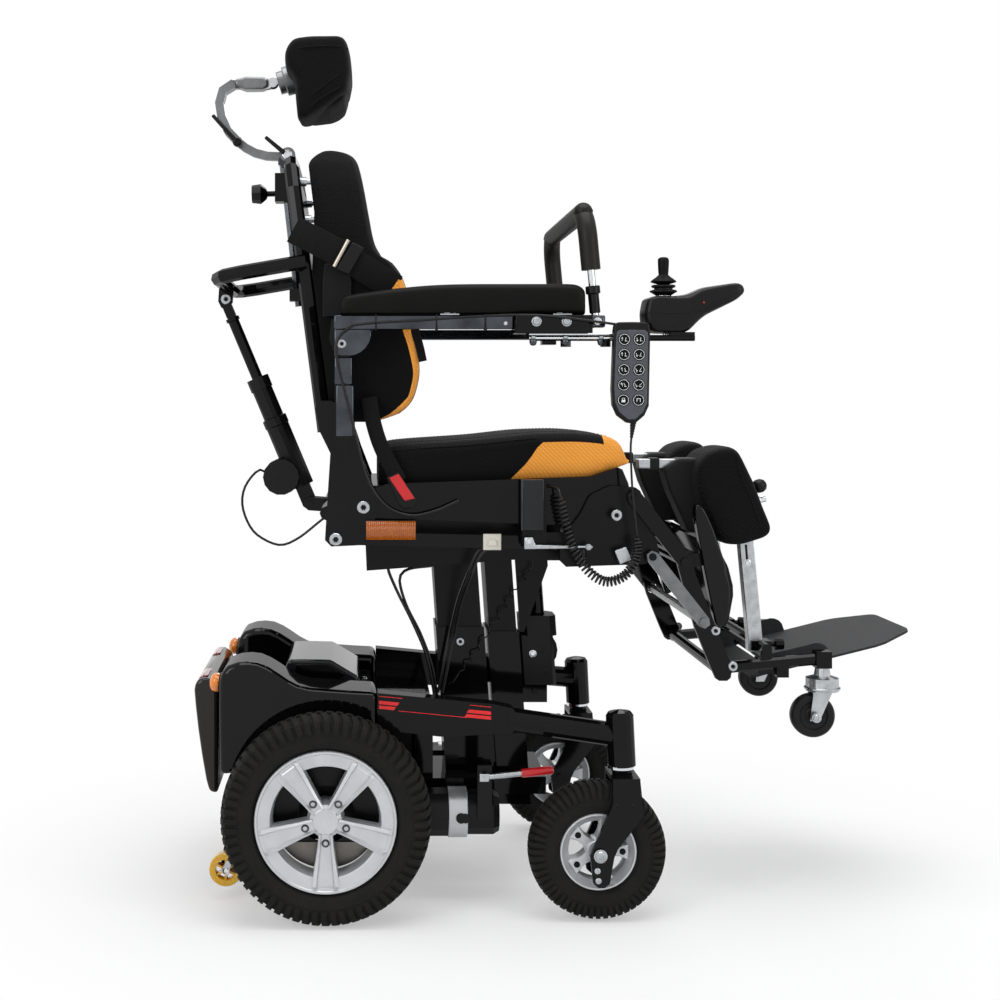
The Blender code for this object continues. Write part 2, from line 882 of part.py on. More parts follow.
def rear_cover():
    outer = [
        (-0.201, 0.176),
        (-0.214, 0.250),
        (REAR_COVER_BACK, 0.332),
        (-0.2185, 0.412),
        (-0.196, 0.416),
        (-0.1853, 0.380),
        (-0.1853, 0.176),
    ]
    solid = prism(rounded(outer, [0.003, 0.08, 0.06, 0.008, 0.01, 0, 0]), "xz", -0.168, 0.168)
    inner = prism(
        [
            (-0.196, 0.15),
            (-0.209, 0.25),
            (-0.2185, 0.332),
            (-0.213, 0.40),
            (-0.17, 0.40),
            (-0.17, 0.15),
        ],
        "xz",
        -0.163,
        0.163,
    )
    shell = cut(solid, [inner])
    lugs = []
    for s in SIDES.values():
        lugs.append(box((-0.205, RAIL_REAR - GAP), (s * 0.092, s * 0.118), (0.178, 0.188)))
    tie = prism(
        [(-0.212, 0.178), (-0.198, 0.178), (-0.198, 0.188), (-0.212, 0.188)], "xz", -0.165, 0.165
    )
    finish("rear_cover", fuse([shell, tie, *lugs]), gloss_shell(), (-0.19, 0, 0.30))


def brake_lever(name, s):
    y = s * 0.222
    hinge = (0.262, 0.222)
    hub = cross_rod(hinge, y - 0.005, y + 0.005, 0.010)
    shaft = rod((hinge[0], y, hinge[1]), (0.322, y, 0.226), 0.004, 6)
    grip = turned(
        [(0, 0), (0, 0.005), (0.006, 0.0075), (0.050, 0.0075), (0.056, 0.004), (0.056, 0)],
        (0.320, y, 0.226),
        (1, 0, 0.07),
        10,
    )
    solid = fuse([hub, shaft, grip])
    bore = cross_rod(hinge, y - 0.02, y + 0.02, 0.0045)
    finish(name, cut(solid, [bore]), red_grip(), (hinge[0], y, hinge[1]))


def stadium(start, end, radius, steps=3):
    """The outline of a link: two round ends joined by straight sides."""
    angle = math.atan2(end[1] - start[1], end[0] - start[0])
    outline = []
    for centre, first in ((end, angle - math.pi / 2), (start, angle + math.pi / 2)):
        for i in range(steps + 1):
            turn = first + math.pi * i / steps
            outline.append(
                (centre[0] + radius * math.cos(turn), centre[1] + radius * math.sin(turn))
            )
    return outline


def strip(points, width):
    """The outline of a curved bar of even width along these points of the side view."""
    left = []
    right = []
    for i, point in enumerate(points):
        before = Vector(points[max(i - 1, 0)])
        after = Vector(points[min(i + 1, len(points) - 1)])
        across = (after - before).normalized().orthogonal() * width / 2
        left.append(tuple(Vector(point) + across))
        right.append(tuple(Vector(point) - across))
    return left + right[::-1]


def both_sides(maker, low, high):
    """The same side-view solid on both sides of the chair."""
    return [maker(s * low, s * high) for s in SIDES.values()]


def plates(outline, low, high):
    return both_sides(lambda near, far: prism(outline, "xz", near, far), low, high)


def pins(point, low, high, radius, sides=PIN_SIDES):
    return both_sides(lambda near, far: cross_rod(point, near, far, radius, sides), low, high)


def holes(point, radius, sides=PIN_SIDES, fit=PIN_FIT):
    """A bore right across for a pin of this radius, whose flats clear the turning pin."""
    return [cross_rod(point, -0.3, 0.3, (radius + fit) / math.cos(math.pi / sides), sides)]


# Lift column


def lean_rod(radius, bottom, top, sides=12):
    return lean(
        turned(
            [(0, 0), (0, radius), (top - bottom, radius), (top - bottom, 0)],
            (ACTUATOR_X, 0, bottom),
            (0, 0, 1),
            sides,
        ),
    )


def lift_actuator():
    bottom = 0.336
    rear = FRONT_SLEEVE[1] + GAP
    foot = [(rear, -0.031), (0.397, -0.031), (0.397, 0.031), (rear, 0.031)]
    top = [(0.339, -0.034), (0.404, -0.034), (0.404, 0.034), (0.339, 0.034)]
    block = lean(prism(rounded(foot, 0.006, 1), "xy", bottom, 0.424))
    cap = lean(prism(rounded(top, 0.012), "xy", 0.423, 0.459))
    motor = cross_rod((0.3775, 0.388), 0.029, 0.070, 0.036, 18)
    pin_x = actuator_pin_x()
    tab = box((pin_x - 0.013, pin_x + 0.016), (-0.0175, 0.0175), (0.313, bottom + 0.004))
    pin = cross_rod((pin_x, 0.324), -0.031, 0.031, PIVOT_RADIUS)
    solid = fuse([block, cap, motor, tab, pin])
    bore = lean_rod(LIFT_TUBE_RADIUS + RUNNING, 0.343, 0.48)
    finish("lift_actuator", cut(solid, [bore]), black_plastic(), (pin_x, 0, 0.324))


def lift_tube():
    low = SLEEVE_TOP + 0.002
    solid = lean_rod(LIFT_TUBE_RADIUS, low, 0.570)
    bore = lean_rod(LIFT_ROD_RADIUS + RUNNING, low - 0.01, 0.58)
    finish("lift_tube", cut(solid, [bore]), black_paint(), (ACTUATOR_X, 0, low))


# Carriage and seat


def box_top(x):
    return BOX_TOP + (x - BOX_REAR) * math.tan(SEAT_RISE)


def lower_link_pivot():
    """The lower pivot that makes the seat, the link and the carrier a parallelogram."""
    return (
        KNEE[0] - SEAT_REAR_PIVOT[0] + LINK_REAR_PIVOT[0],
        KNEE[1] - SEAT_REAR_PIVOT[1] + LINK_REAR_PIVOT[1],
    )


def inner_mast(span):
    inset = SLEEVE_WALL + RUNNING
    reach = SLEEVE_HALF_WIDTH - inset
    top = box_top(span[0] - 0.015) - 0.001
    return lean_box(
        (span[0] + inset, span[1] - inset), (-reach, reach), (SLEEVE_TOP - MAST_OVERLAP, top)
    )


def lift_carriage():
    link_pivot = lower_link_pivot()
    outer = [
        (BOX_REAR + 0.002, BOX_BOTTOM),
        (0.3456, BOX_BOTTOM + (0.3456 - BOX_REAR) * math.tan(SEAT_RISE)),
        (BOX_FRONT, 0.600),
        (BOX_FRONT, box_top(BOX_FRONT)),
        (BOX_REAR - 0.003, BOX_TOP),
    ]
    channel = prism(outer, "xz", -BOX_HALF, BOX_HALF)
    rear = BOX_REAR + SHEET + 0.001
    hollow = prism(
        [(rear, 0.5), (0.5, 0.5), (0.5, box_top(0.5) - SHEET), (rear, box_top(rear) - SHEET)],
        "xz",
        -BOX_HALF + SHEET,
        BOX_HALF - SHEET,
    )
    shell = cut(channel, [hollow])
    gusset = lean(
        prism(
            [
                (0.3365, 0.433),
                (0.344, 0.433),
                (0.394, 0.550),
                (0.394, 0.640),
                (0.375, 0.6805),
                (0.3365, 0.6805),
            ],
            "xz",
            -0.050,
            -0.045,
        )
    )
    beam_z = (0.5665, 0.5895)
    parts = [shell, inner_mast(REAR_SLEEVE), inner_mast(FRONT_SLEEVE), gusset]
    parts.append(lean_rod(LIFT_ROD_RADIUS, 0.555, box_top(0.355) - 0.001))
    parts += both_sides(
        lambda near, far: box((0.335, 0.4245), (near, far), beam_z), 0.080, BOX_HALF - 0.0015
    )
    parts.append(box((0.402, 0.425), (-CARRIER_PLATE_IN - 0.002, CARRIER_PLATE_IN + 0.002), beam_z))
    bracket = [
        (0.386, 0.5665),
        (0.520, 0.571),
        (0.550, 0.575),
        (0.551, 0.592),
        (0.523, 0.684),
        (0.517, 0.698),
        (0.470, 0.702),
        (0.436, 0.686),
        (0.420, 0.655),
        (0.400, 0.628),
        (0.386, 0.604),
    ]
    parts += plates(rounded(bracket, 0.010, 1), CARRIER_PLATE_IN, CARRIER_PLATE_IN + PLATE)
    outer_face = CARRIER_PLATE_IN + PLATE
    parts += pins(KNEE, 0.170, outer_face - 0.001, 0.010, 10)
    drive = [(0, 0), (0, 0.038), (0.062, 0.038), (0.062, 0.030), (0.084, 0.030), (0.084, 0)]
    for s in SIDES.values():
        parts.append(turned(drive, (KNEE[0], s * 0.100, KNEE[1]), (0, s, 0), 14))
        parts.append(box((0.400, 0.458), (s * 0.120, s * 0.160), (beam_z[1] - 0.004, 0.645)))
    parts += pins(link_pivot, LINK_INNER - 0.002, CARRIER_PLATE_IN + 0.001, PIVOT_RADIUS)
    arm_out = LEG_ARM_IN + PLATE
    bar_out = LEG_BAR_IN + PLATE
    parts += pins(LEG_KNEE_PIVOT, outer_face - 0.001, arm_out + 0.004, PIVOT_RADIUS)
    parts += pins(LEG_LOWER_PIVOT, outer_face - 0.001, bar_out + 0.004, PIVOT_RADIUS)
    parts.append(box((0.325, 0.400), (-outer_face, -CARRIER_PLATE_IN - 0.0005), (0.598, 0.624)))
    parts.append(box((0.322, 0.362), (-0.236, -outer_face + 0.002), (0.606, 0.708)))
    finish("lift_carriage", fuse(parts), black_anodised(), (leaned(ACTUATOR_X, 0.6), 0, 0.6))


def pan_height(x):
    return 0.7005 + (x - 0.075) * 0.0345


def seat_frame():
    outline = [
        (0.043, 0.663),
        (0.055, 0.648),
        (0.420, 0.634),
        (0.500, 0.640),
        (0.503, 0.700),
        (0.489, 0.733),
        (0.440, 0.716),
        (0.100, 0.704),
        (0.045, 0.684),
    ]
    parts = plates(
        rounded(outline, [0.012, 0.01, 0, 0.03, 0.02, 0.006, 0, 0, 0.012], 1),
        SEAT_PLATE_IN,
        SEAT_PLATE_IN + PLATE,
    )
    reach = SEAT_PLATE_IN + 0.001
    pan = prism(
        [
            (0.075, pan_height(0.075) - SHEET),
            (0.440, pan_height(0.440) - SHEET),
            (0.482, 0.728 - SHEET),
            (0.482, 0.728),
            (0.438, pan_height(0.438)),
            (0.075, pan_height(0.075)),
        ],
        "xz",
        -reach,
        reach,
    )
    parts.append(pan)
    for x in (0.100, 0.400):
        parts.append(cross_rod((x, pan_height(x) - 0.0095), -reach, reach, 0.008))
    parts += pins(
        SEAT_REAR_PIVOT, SEAT_PLATE_IN + 0.004, CARRIER_PLATE_IN + PLATE + 0.004, PIVOT_RADIUS
    )
    frame = cut(fuse(parts), holes(KNEE, 0.010, 10))
    finish("seat_frame", frame, black_paint(), side_point(KNEE))


def parallel_link():
    start = lower_link_pivot()
    parts = plates(stadium(LINK_REAR_PIVOT, start, 0.011), LINK_INNER, LINK_INNER + PLATE)
    parts.append(cross_rod(LINK_REAR_PIVOT, -LINK_INNER - 0.001, LINK_INNER + 0.001, 0.008, 12))
    parts += pins(
        LINK_REAR_PIVOT, LINK_INNER + 0.001, CARRIER_PLATE_IN + PLATE + 0.003, PIVOT_RADIUS
    )
    bore = holes(start, PIVOT_RADIUS)
    finish("parallel_link", cut(fuse(parts), bore), zinc_steel(), side_point(start))


def back_carrier():
    outline = [
        (-0.004, 0.600),
        (0.061, 0.603),
        (0.081, 0.650),
        (0.081, 0.690),
        (0.056, 0.755),
        (0.044, 0.792),
        (0.008, 0.792),
        (0.002, 0.700),
    ]
    low = CARRIER_PLATE_IN
    high = CARRIER_PLATE_IN + PLATE
    parts = plates(rounded(outline, 0.010, 1), low, high)
    post_out = 0.2305
    post = stadium((0.026, 0.765), ARM_PIVOT, 0.0125, 3)
    parts += plates(post, high - 0.003, post_out)
    parts += pins(ARM_PIVOT, high - 0.003, post_out, 0.018, 10)
    parts += pins(ARM_PIVOT, post_out - 0.001, 0.2505, PIVOT_RADIUS)
    beam = (0.000, 0.655)
    parts.append(cross_rod(beam, -low - 0.001, low + 0.001, 0.0125))
    parts += plates(stadium(beam, RECLINE_FOOT, 0.012), 0.0125, 0.0205)
    parts.append(cross_rod(RECLINE_FOOT, -0.0245, 0.0245, PIVOT_RADIUS))
    parts += pins(RECLINE_PIVOT, 0.182, low + 0.001, PIVOT_RADIUS)
    bores = holes(SEAT_REAR_PIVOT, PIVOT_RADIUS) + holes(
        LINK_REAR_PIVOT, PIVOT_RADIUS, fit=OPEN_FIT
    )
    finish("back_carrier", cut(fuse(parts), bores), black_paint(), side_point(SEAT_REAR_PIVOT))


# Back


def back_line(height):
    """X of the back tubes' centre line at a height."""
    return -0.041 - (height - 1.0756) * 0.128


def stem_line(height):
    slope = (STEM_TOP[0] - STEM_BOTTOM[0]) / (STEM_TOP[1] - STEM_BOTTOM[1])
    return STEM_TOP[0] + (height - STEM_TOP[1]) * slope


def back_frame():
    low = 0.790
    top = 1.250
    y = BACK_TUBE_Y
    hoop = [
        (back_line(low), -y, low),
        (back_line(top), -y, top),
        (back_line(top), y, top),
        (back_line(low), y, low),
    ]
    parts = [tube(bend(hoop, 0.05), BACK_TUBE_RADIUS, 2)]
    sheet_x = BACK_TUBE_RADIUS - SHEET
    panel = prism(
        [
            (back_line(0.82) + sheet_x, 0.82),
            (back_line(0.82) + BACK_TUBE_RADIUS, 0.82),
            (back_line(1.22) + BACK_TUBE_RADIUS, 1.22),
            (back_line(1.22) + sheet_x, 1.22),
        ],
        "xz",
        -y,
        y,
    )
    parts.append(panel)
    parts.append(cross_rod((back_line(0.815), 0.815), -y, y, 0.010, 8))
    lug = [
        (0.018, 0.729),
        (0.047, 0.731),
        (0.049, 0.760),
        (0.014, 0.842),
        (-0.022, 0.842),
        (-0.012, 0.790),
    ]
    parts += plates(rounded(lug, 0.010, 1), 0.186, CARRIER_PLATE_IN - GAP)
    bar = PUSH_BAR_Y
    push = [
        (-0.036, -bar, 1.075),
        (-0.186, -bar, 1.049),
        (-0.186, bar, 1.049),
        (-0.036, bar, 1.075),
    ]
    parts.append(tube(bend(push, 0.04), BACK_TUBE_RADIUS, 2))
    parts.append(prism(stadium((-0.186, 1.046), RECLINE_HEAD, 0.013), "xz", -0.004, 0.004))
    clamp = [(-0.098, 1.198), (-0.056, 1.198), (-0.056, 1.249), (-0.098, 1.249)]
    parts.append(prism(clamp, "xz", -0.018, 0.018))
    guide = [
        (-0.072, 1.020),
        (back_line(1.03) + 0.011, 1.020),
        (back_line(1.03) + 0.011, 1.042),
        (-0.072, 1.042),
    ]
    parts.append(prism(guide, "xz", -0.014, 0.014))
    knob = [
        (0, 0),
        (0, 0.005),
        (0.016, 0.005),
        (0.018, 0.010),
        (0.028, 0.018),
        (0.044, 0.016),
        (0.044, 0),
    ]
    parts.append(turned(knob, (-0.096, 0, 1.214), (-1, 0, -0.02), 8))
    frame = fuse(parts)
    stem_bore = rod((stem_line(0.98), 0, 0.98), (stem_line(1.30), 0, 1.30), 0.007 + GAP, 8)
    frame = cut(frame, [stem_bore, *holes(RECLINE_PIVOT, PIVOT_RADIUS)])
    finish("back_frame", frame, black_paint(), side_point(RECLINE_PIVOT))


def actuator_point(distance):
    foot = Vector(RECLINE_FOOT)
    return foot + (Vector(RECLINE_HEAD) - foot).normalized() * distance


def actuator_rod(start, end, radius, sides=14):
    low = actuator_point(start)
    high = actuator_point(end)
    return rod(side_point(low), side_point(high), radius, sides)


def recline_tube():
    foot = prism(stadium(RECLINE_FOOT, actuator_point(0.05), 0.013), "xz", -0.0118, 0.0118)
    profile = [
        (0.034, 0),
        (0.034, 0.021),
        (0.150, 0.021),
        (0.152, 0.0225),
        (0.166, 0.0225),
        (0.168, 0.0185),
        (0.222, 0.0185),
        (0.222, 0.0205),
        (0.244, 0.0205),
        (0.244, LIFT_ROD_RADIUS + RUNNING),
        (0.085, LIFT_ROD_RADIUS + RUNNING),
        (0.085, 0),
    ]
    along = Vector(side_point(RECLINE_HEAD)) - Vector(side_point(RECLINE_FOOT))
    body = turned(profile, side_point(RECLINE_FOOT), along, 14)
    neck = prism(stadium((-0.086, 0.706), actuator_point(0.066), 0.016), "xz", -0.016, 0.016)
    motor = cross_rod((-0.086, 0.706), -0.040, 0.030, 0.032, 14)
    solid = fuse([body, foot, motor])
    solid = fuse([solid, cut(neck, [actuator_rod(0.02, 0.12, 0.0195)])])
    solid = cut(solid, holes(RECLINE_FOOT, PIVOT_RADIUS))
    finish("recline_tube", solid, black_plastic(), side_point(RECLINE_FOOT))


def recline_rod():
    length = (Vector(RECLINE_HEAD) - Vector(RECLINE_FOOT)).length
    profile = [
        (0.200, 0),
        (0.200, LIFT_ROD_RADIUS),
        (length - 0.038, LIFT_ROD_RADIUS),
        (length - 0.037, 0.0125),
        (length - 0.031, 0.0125),
        (length - 0.031, 0),
    ]
    along = Vector(side_point(RECLINE_HEAD)) - Vector(side_point(RECLINE_FOOT))
    shaft = turned(profile, side_point(RECLINE_FOOT), along, 14)
    cheeks = plates(stadium(actuator_point(length - 0.0290), RECLINE_HEAD, 0.0085), 0.0052, 0.0098)
    finish("recline_rod", fuse([shaft, *cheeks]), zinc_steel(), side_point(RECLINE_HEAD))


# Headrest


def headrest_stem():
    stem = rod((stem_line(1.011), 0, 1.011), side_point(STEM_TOP), 0.007, 8)
    head = prism(stadium(STEM_TOP, LOWER_ARM_PIVOT, 0.0095), "xz", -0.0135, 0.0135)
    slot = prism(
        stadium((LOWER_ARM_PIVOT[0] - 0.030, LOWER_ARM_PIVOT[1]), LOWER_ARM_PIVOT, 0.014),
        "xz",
        -0.0070,
        0.0070,
    )
    pin = cross_rod(LOWER_ARM_PIVOT, -0.0130, 0.0130, 0.004, 8)
    solid = fuse([cut(fuse([stem, head]), [slot]), pin])
    finish("headrest_stem", solid, zinc_steel(), side_point(STEM_TOP))


def headrest_lower_arm():
    route = [
        LOWER_ARM_PIVOT,
        (-0.093, 1.2805),
        (-0.113, 1.2815),
        (-0.134, 1.287),
        (-0.151, 1.296),
        UPPER_ARM_PIVOT,
    ]
    arm = prism(strip(route, 0.015), "xz", -0.0064, 0.0064)
    parts = [arm, cross_rod(LOWER_ARM_PIVOT, -0.0066, 0.0066, 0.009, 10)]
    parts.append(cross_rod(UPPER_ARM_PIVOT, -0.0066, 0.0066, 0.0085, 10))
    parts.append(cross_rod(UPPER_ARM_PIVOT, -0.0165, 0.0165, 0.004, 8))
    solid = cut(fuse(parts), holes(LOWER_ARM_PIVOT, 0.004))
    finish("headrest_lower_arm", solid, grey_arm(), side_point(LOWER_ARM_PIVOT))


def headrest_upper_arm():
    route = [
        UPPER_ARM_PIVOT,
        (-0.183, 1.326),
        (-0.194, 1.350),
        (-0.198, 1.376),
        (-0.192, 1.398),
        (-0.172, 1.411),
    ]
    cheeks = plates(strip(route[:4], 0.015), 0.0072, 0.0138)
    ends = pins(UPPER_ARM_PIVOT, 0.0070, 0.0140, 0.0085)
    bridge = prism(strip(route[2:], 0.015), "xz", -0.0138, 0.0138)
    link = prism(stadium((-0.176, 1.410), (-0.140, 1.4095), 0.0075), "xz", -0.006, 0.006)
    pin = cross_rod(HEAD_KNUCKLE, -0.0125, 0.0125, 0.004, 8)
    neck = box((-0.140, HEAD_KNUCKLE[0]), (-0.004, 0.004), (1.403, 1.4155))
    solid = cut(fuse([bridge, *cheeks, *ends, link, neck, pin]), holes(UPPER_ARM_PIVOT, 0.004))
    finish("headrest_upper_arm", solid, grey_arm(), side_point(UPPER_ARM_PIVOT))


def headrest_puck():
    """The knuckle, ball rod and round mount that carry the pad."""
    tilt = (math.cos(math.radians(3)), 0, -math.sin(math.radians(3)))
    cheeks = plates(stadium(HEAD_KNUCKLE, (-0.108, 1.4115), 0.0085), 0.0046, 0.0100)
    block = prism(stadium((-0.104, 1.412), (-0.100, 1.4135), 0.0085), "xz", -0.0100, 0.0100)
    neck = rod((-0.104, 0, 1.4125), (-0.086, 0, 1.4155), 0.006, 8)
    puck = turned(
        [(0, 0), (0, 0.012), (0.004, 0.016), (0.0330, 0.016), (0.0330, 0)],
        (-0.091, 0, 1.4175),
        tilt,
        12,
    )
    solid = cut(fuse([block, *cheeks, neck, puck]), holes(HEAD_KNUCKLE, 0.004))
    finish("headrest_mount", solid, silver_alloy(), side_point(HEAD_KNUCKLE))


# Soft forms


def loft(sections):
    """A closed skin through sections that have the same number of points."""
    maker = bmesh.new()
    loops = [[maker.verts.new(point) for point in section] for section in sections]
    count = len(loops[0])
    for here, there in zip(loops, loops[1:]):
        for i in range(count):
            j = (i + 1) % count
            maker.faces.new((here[i], here[j], there[j], there[i]))
    maker.faces.new(loops[0][::-1])
    maker.faces.new(loops[-1])
    return as_object(maker)


def soft_curve(stations, at):
    """A smooth value between stations of (place, value)."""
    for (low, first), (high, last) in zip(stations, stations[1:]):
        if at <= high:
            share = max(0.0, (at - low) / (high - low))
            eased = share * share * (3 - 2 * share)
            return first + (last - first) * eased
    return stations[-1][1]


def straight_curve(stations, at):
    for (low, first), (high, last) in zip(stations, stations[1:]):
        if at <= high:
            return first + (last - first) * max(0.0, (at - low) / (high - low))
    return stations[-1][1]


SEAT_CROWN = 0.012
SEAT_CHANNEL = 0.005
SEAT_TOP_LINE = [
    (0.086, 0.766),
    (0.110, 0.774),
    (0.250, 0.784),
    (0.404, 0.790),
    (0.455, 0.782),
    (0.490, 0.763),
    (0.508, 0.742),
]
SEAT_CUSHION_ENDS = (0.086, 0.508)
CUSHION_SEAT_GAP = 0.0006


def seat_cushion_bottom(x):
    if x <= 0.438:
        return pan_height(x) + CUSHION_SEAT_GAP
    slope = (0.728 - pan_height(0.438)) / (0.482 - 0.438)
    rise = min(x, 0.482) - 0.438
    return pan_height(0.438) + slope * rise + CUSHION_SEAT_GAP


def seat_cushion():
    stations = 17
    across = 16
    sections = []
    for i in range(stations):
        x = SEAT_CUSHION_ENDS[0] + (
            SEAT_CUSHION_ENDS[1] - SEAT_CUSHION_ENDS[0]
        ) * i / (stations - 1)
        edge = min(i, stations - 1 - i) / 2
        drawn = 0.006 * max(0.0, 1 - edge)
        half = SEAT_HALF - 0.002 - drawn
        bottom = seat_cushion_bottom(x)
        top = max(straight_curve(SEAT_TOP_LINE, x) - 2 * drawn, bottom + 0.010)
        waist = 0.004
        section = [(x, -half + 0.004, bottom), (x, -half + waist, (top + bottom) / 2)]
        for k in range(across + 1):
            share = -1 + 2 * k / across
            crown = SEAT_CROWN * (1 - share**6) - SEAT_CROWN
            channel = SEAT_CHANNEL * math.exp(-(((abs(share) - 0.62) / 0.06) ** 2))
            section.append((x, share * half, top + crown - channel))
        section += [(x, half - waist, (top + bottom) / 2), (x, half - 0.004, bottom)]
        sections.append(section)
    finish("seat_cushion", loft(sections), black_fabric(), side_point(KNEE))


BACK_FRONT_LINE = [
    (0.806, 0.094),
    (0.822, 0.130),
    (0.860, 0.149),
    (0.900, 0.152),
    (0.961, 0.124),
    (1.040, 0.113),
    (1.075, 0.100),
    (1.100, 0.080),
    (1.160, 0.065),
    (1.230, 0.050),
    (1.266, 0.010),
]
BACK_HALF_LINE = [
    (0.806, 0.175),
    (0.850, 0.196),
    (1.000, 0.198),
    (1.120, 0.186),
    (1.200, 0.172),
    (1.266, 0.125),
]
BACK_BOLSTER = 0.045
BACK_BOLSTER_TOP = 0.018


def back_cushion():
    low = 0.806
    top = 1.266
    stations = 19
    across = 14
    sections = []
    for i in range(stations):
        height = low + (top - low) * i / (stations - 1)
        edge = min(i, stations - 1 - i) / 2
        drawn = max(0.0, 1 - edge)
        half = straight_curve(BACK_HALF_LINE, height) - 0.008 * drawn
        back = back_line(height) + BACK_TUBE_RADIUS + CUSHION_SEAT_GAP
        front = straight_curve(BACK_FRONT_LINE, height)
        bolster = straight_curve(
            [(low, BACK_BOLSTER), (1.06, BACK_BOLSTER), (1.11, BACK_BOLSTER_TOP), (top, 0.004)],
            height,
        )
        section = [(back, -half + 0.010, height)]
        for k in range(across + 1):
            share = -1 + 2 * k / across
            hollow = bolster * (
                1 - soft_curve([(0.0, 0.0), (0.45, 0.05), (0.80, 1.0), (1.0, 1.0)], abs(share))
            )
            seam = 0.004 * math.exp(-(((abs(share) - 0.50) / 0.06) ** 2))
            edge_round = 0.018 * max(0.0, abs(share) - 0.86) / 0.14
            x = front - hollow - seam - edge_round
            section.append((max(x, back + 0.012), share * half, height))
        section.append((back, half - 0.010, height))
        sections.append(section)
    finish("back_cushion", loft(sections), black_fabric(), side_point(RECLINE_PIVOT))


def pad_solid(outline, low, high, drawn, rounding):
    """A moulded pad: a side-view outline between two faces, with drawn-in, rounded ends."""
    smooth = rounded(outline, rounding, 1)
    middle = Vector((sum(p[0] for p in smooth), sum(p[1] for p in smooth))) / len(smooth)
    sections = []
    for share, shrink in ((0.0, 1.0), (0.14, 0.15), (0.86, 0.15), (1.0, 1.0)):
        y = low + (high - low) * share
        section = []
        for x, z in smooth:
            inward = middle - Vector((x, z))
            place = Vector((x, z)) + inward.normalized() * drawn * shrink
            section.append((place.x, y, place.y))
        sections.append(section)
    return loft(sections)


def headrest_pad():
    outline = [
        (-0.062, 1.385),
        (-0.058, 1.462),
        (-0.040, 1.474),
        (0.022, 1.462),
        (0.040, 1.428),
        (0.034, 1.390),
        (-0.002, 1.330),
        (-0.030, 1.322),
    ]
    pad = pad_solid(outline, -HEAD_PAD_HALF, HEAD_PAD_HALF, 0.020, 0.012)
    finish("headrest_pad", pad, black_fabric(), side_point(HEAD_KNUCKLE))


# Armrests and controls


def armrest(name, s):
    y = s * ARM_Y
    quadrant = [
        (0.009, 0.925),
        (0.041, 0.925),
        (0.070, 0.950),
        (0.082, 0.966),
        (0.082, 0.976),
        (0.008, 0.976),
        (0.004, 0.945),
    ]
    parts = [
        prism(
            rounded(quadrant, [0.012, 0.012, 0.04, 0, 0, 0, 0.01], 1), "xz", s * 0.2312, s * 0.2465
        ),
    ]
    parts.append(rod((0.0136, y, 0.9685), (0.425, y, 0.9685), ARM_TUBE_RADIUS, 10))
    parts.append(box((0.035, 0.408), (y - 0.013, y + 0.013), (0.9755, ARM_PAD_Z[0] - GAP)))
    parts.append(
        box((0.408, GRAB_X - 0.002), (y - 0.0155, y + 0.0155), (0.950, ARM_PAD_Z[0] - GAP))
    )
    if s < 0:
        parts.append(box((0.3065, 0.412), (-0.271, y + 0.006), (0.952, 0.974)))
        route = bend(
            [(0.330, -0.265, 0.958), (0.330, -0.265, 0.9446), (0.600, -0.265, 0.9446)], 0.008
        )
        parts.append(tube(route, 0.005, 1))
        parts.append(box((0.560, 0.600), (-0.268, -0.235), (0.944, 0.9542)))
        parts.append(box((0.486, 0.508), (-0.2734, -0.262), (0.936, 0.952)))
        for x in (0.390, 0.455):
            clamp_knob = [(0, 0), (0, 0.004), (0.006, 0.0085), (0.016, 0.0085), (0.016, 0)]
            parts.append(turned(clamp_knob, (x, -0.265, 0.946), (0, 0, -1), 8))
    whole = fuse(parts)
    leg_radius = GRAB_ROD_RADIUS + RUNNING
    floor = GRAB_BOTTOM - GAP
    well = rod((GRAB_X, y, floor), (GRAB_X, y, 1.05), leg_radius, 10)
    mouth = box((GRAB_X, GRAB_X + 0.05), (y - leg_radius, y + leg_radius), (floor, 1.05))
    finish(
        name,
        cut(whole, [well, mouth, *holes(ARM_PIVOT, PIVOT_RADIUS)]),
        black_paint(),
        side_point(ARM_PIVOT, y),
    )


def arm_pad(name, s):
    y = s * ARM_Y
    half = ARM_PAD_WIDTH / 2
    low, high = ARM_PAD_Z
    outline = [
        (ARM_PAD_X[0], low),
        (ARM_PAD_X[1] - 0.010, low),
        (ARM_PAD_X[1], high - 0.014),
        (ARM_PAD_X[1] - 0.010, high),
        (0.30, high - 0.004),
        (0.05, high - 0.012),
        (ARM_PAD_X[0], high - 0.022),
    ]
    pad = pad_solid(outline, y - half, y + half, 0.006, 0.008)
    finish(name, pad, black_foam(), side_point(ARM_PIVOT, y))


JOYSTICK = (0.554, -ARM_Y, 1.012)


def joystick_box():
    outline = [
        (0.519, 0.985),
        (0.529, 0.960),
        (0.545, 0.9535),
        (0.604, 0.9535),
        (0.662, 0.985),
        (0.7035, 1.026),
        (0.700, 1.036),
        (0.600, 1.026),
        (0.548, 1.024),
        (0.524, 1.010),
    ]
    body = pad_solid(outline, -ARM_Y - 0.034, -ARM_Y + 0.034, 0.007, 0.006)
    well = rod((JOYSTICK[0], JOYSTICK[1], 1.002), (JOYSTICK[0], JOYSTICK[1], 1.06), 0.0165, 14)
    posts = []
    for way in (-1, 1):
        inner = (JOYSTICK[0] + way * 0.0142, JOYSTICK[1], JOYSTICK[2])
        outer = (JOYSTICK[0] + way * 0.0185, JOYSTICK[1], JOYSTICK[2])
        posts.append(rod(inner, outer, 0.003, 8))
    finish("joystick_box", fuse([cut(body, [well]), *posts]), black_plastic(), JOYSTICK)


def joystick_gimbal():
    ring = turned(
        [(-0.0028, 0.0090), (-0.0028, 0.0134), (0.0028, 0.0134), (0.0028, 0.0090)],
        JOYSTICK,
        (0, 0, 1),
        14,
        ring=True,
    )
    finish("joystick_gimbal", ring, zinc_steel(), JOYSTICK)


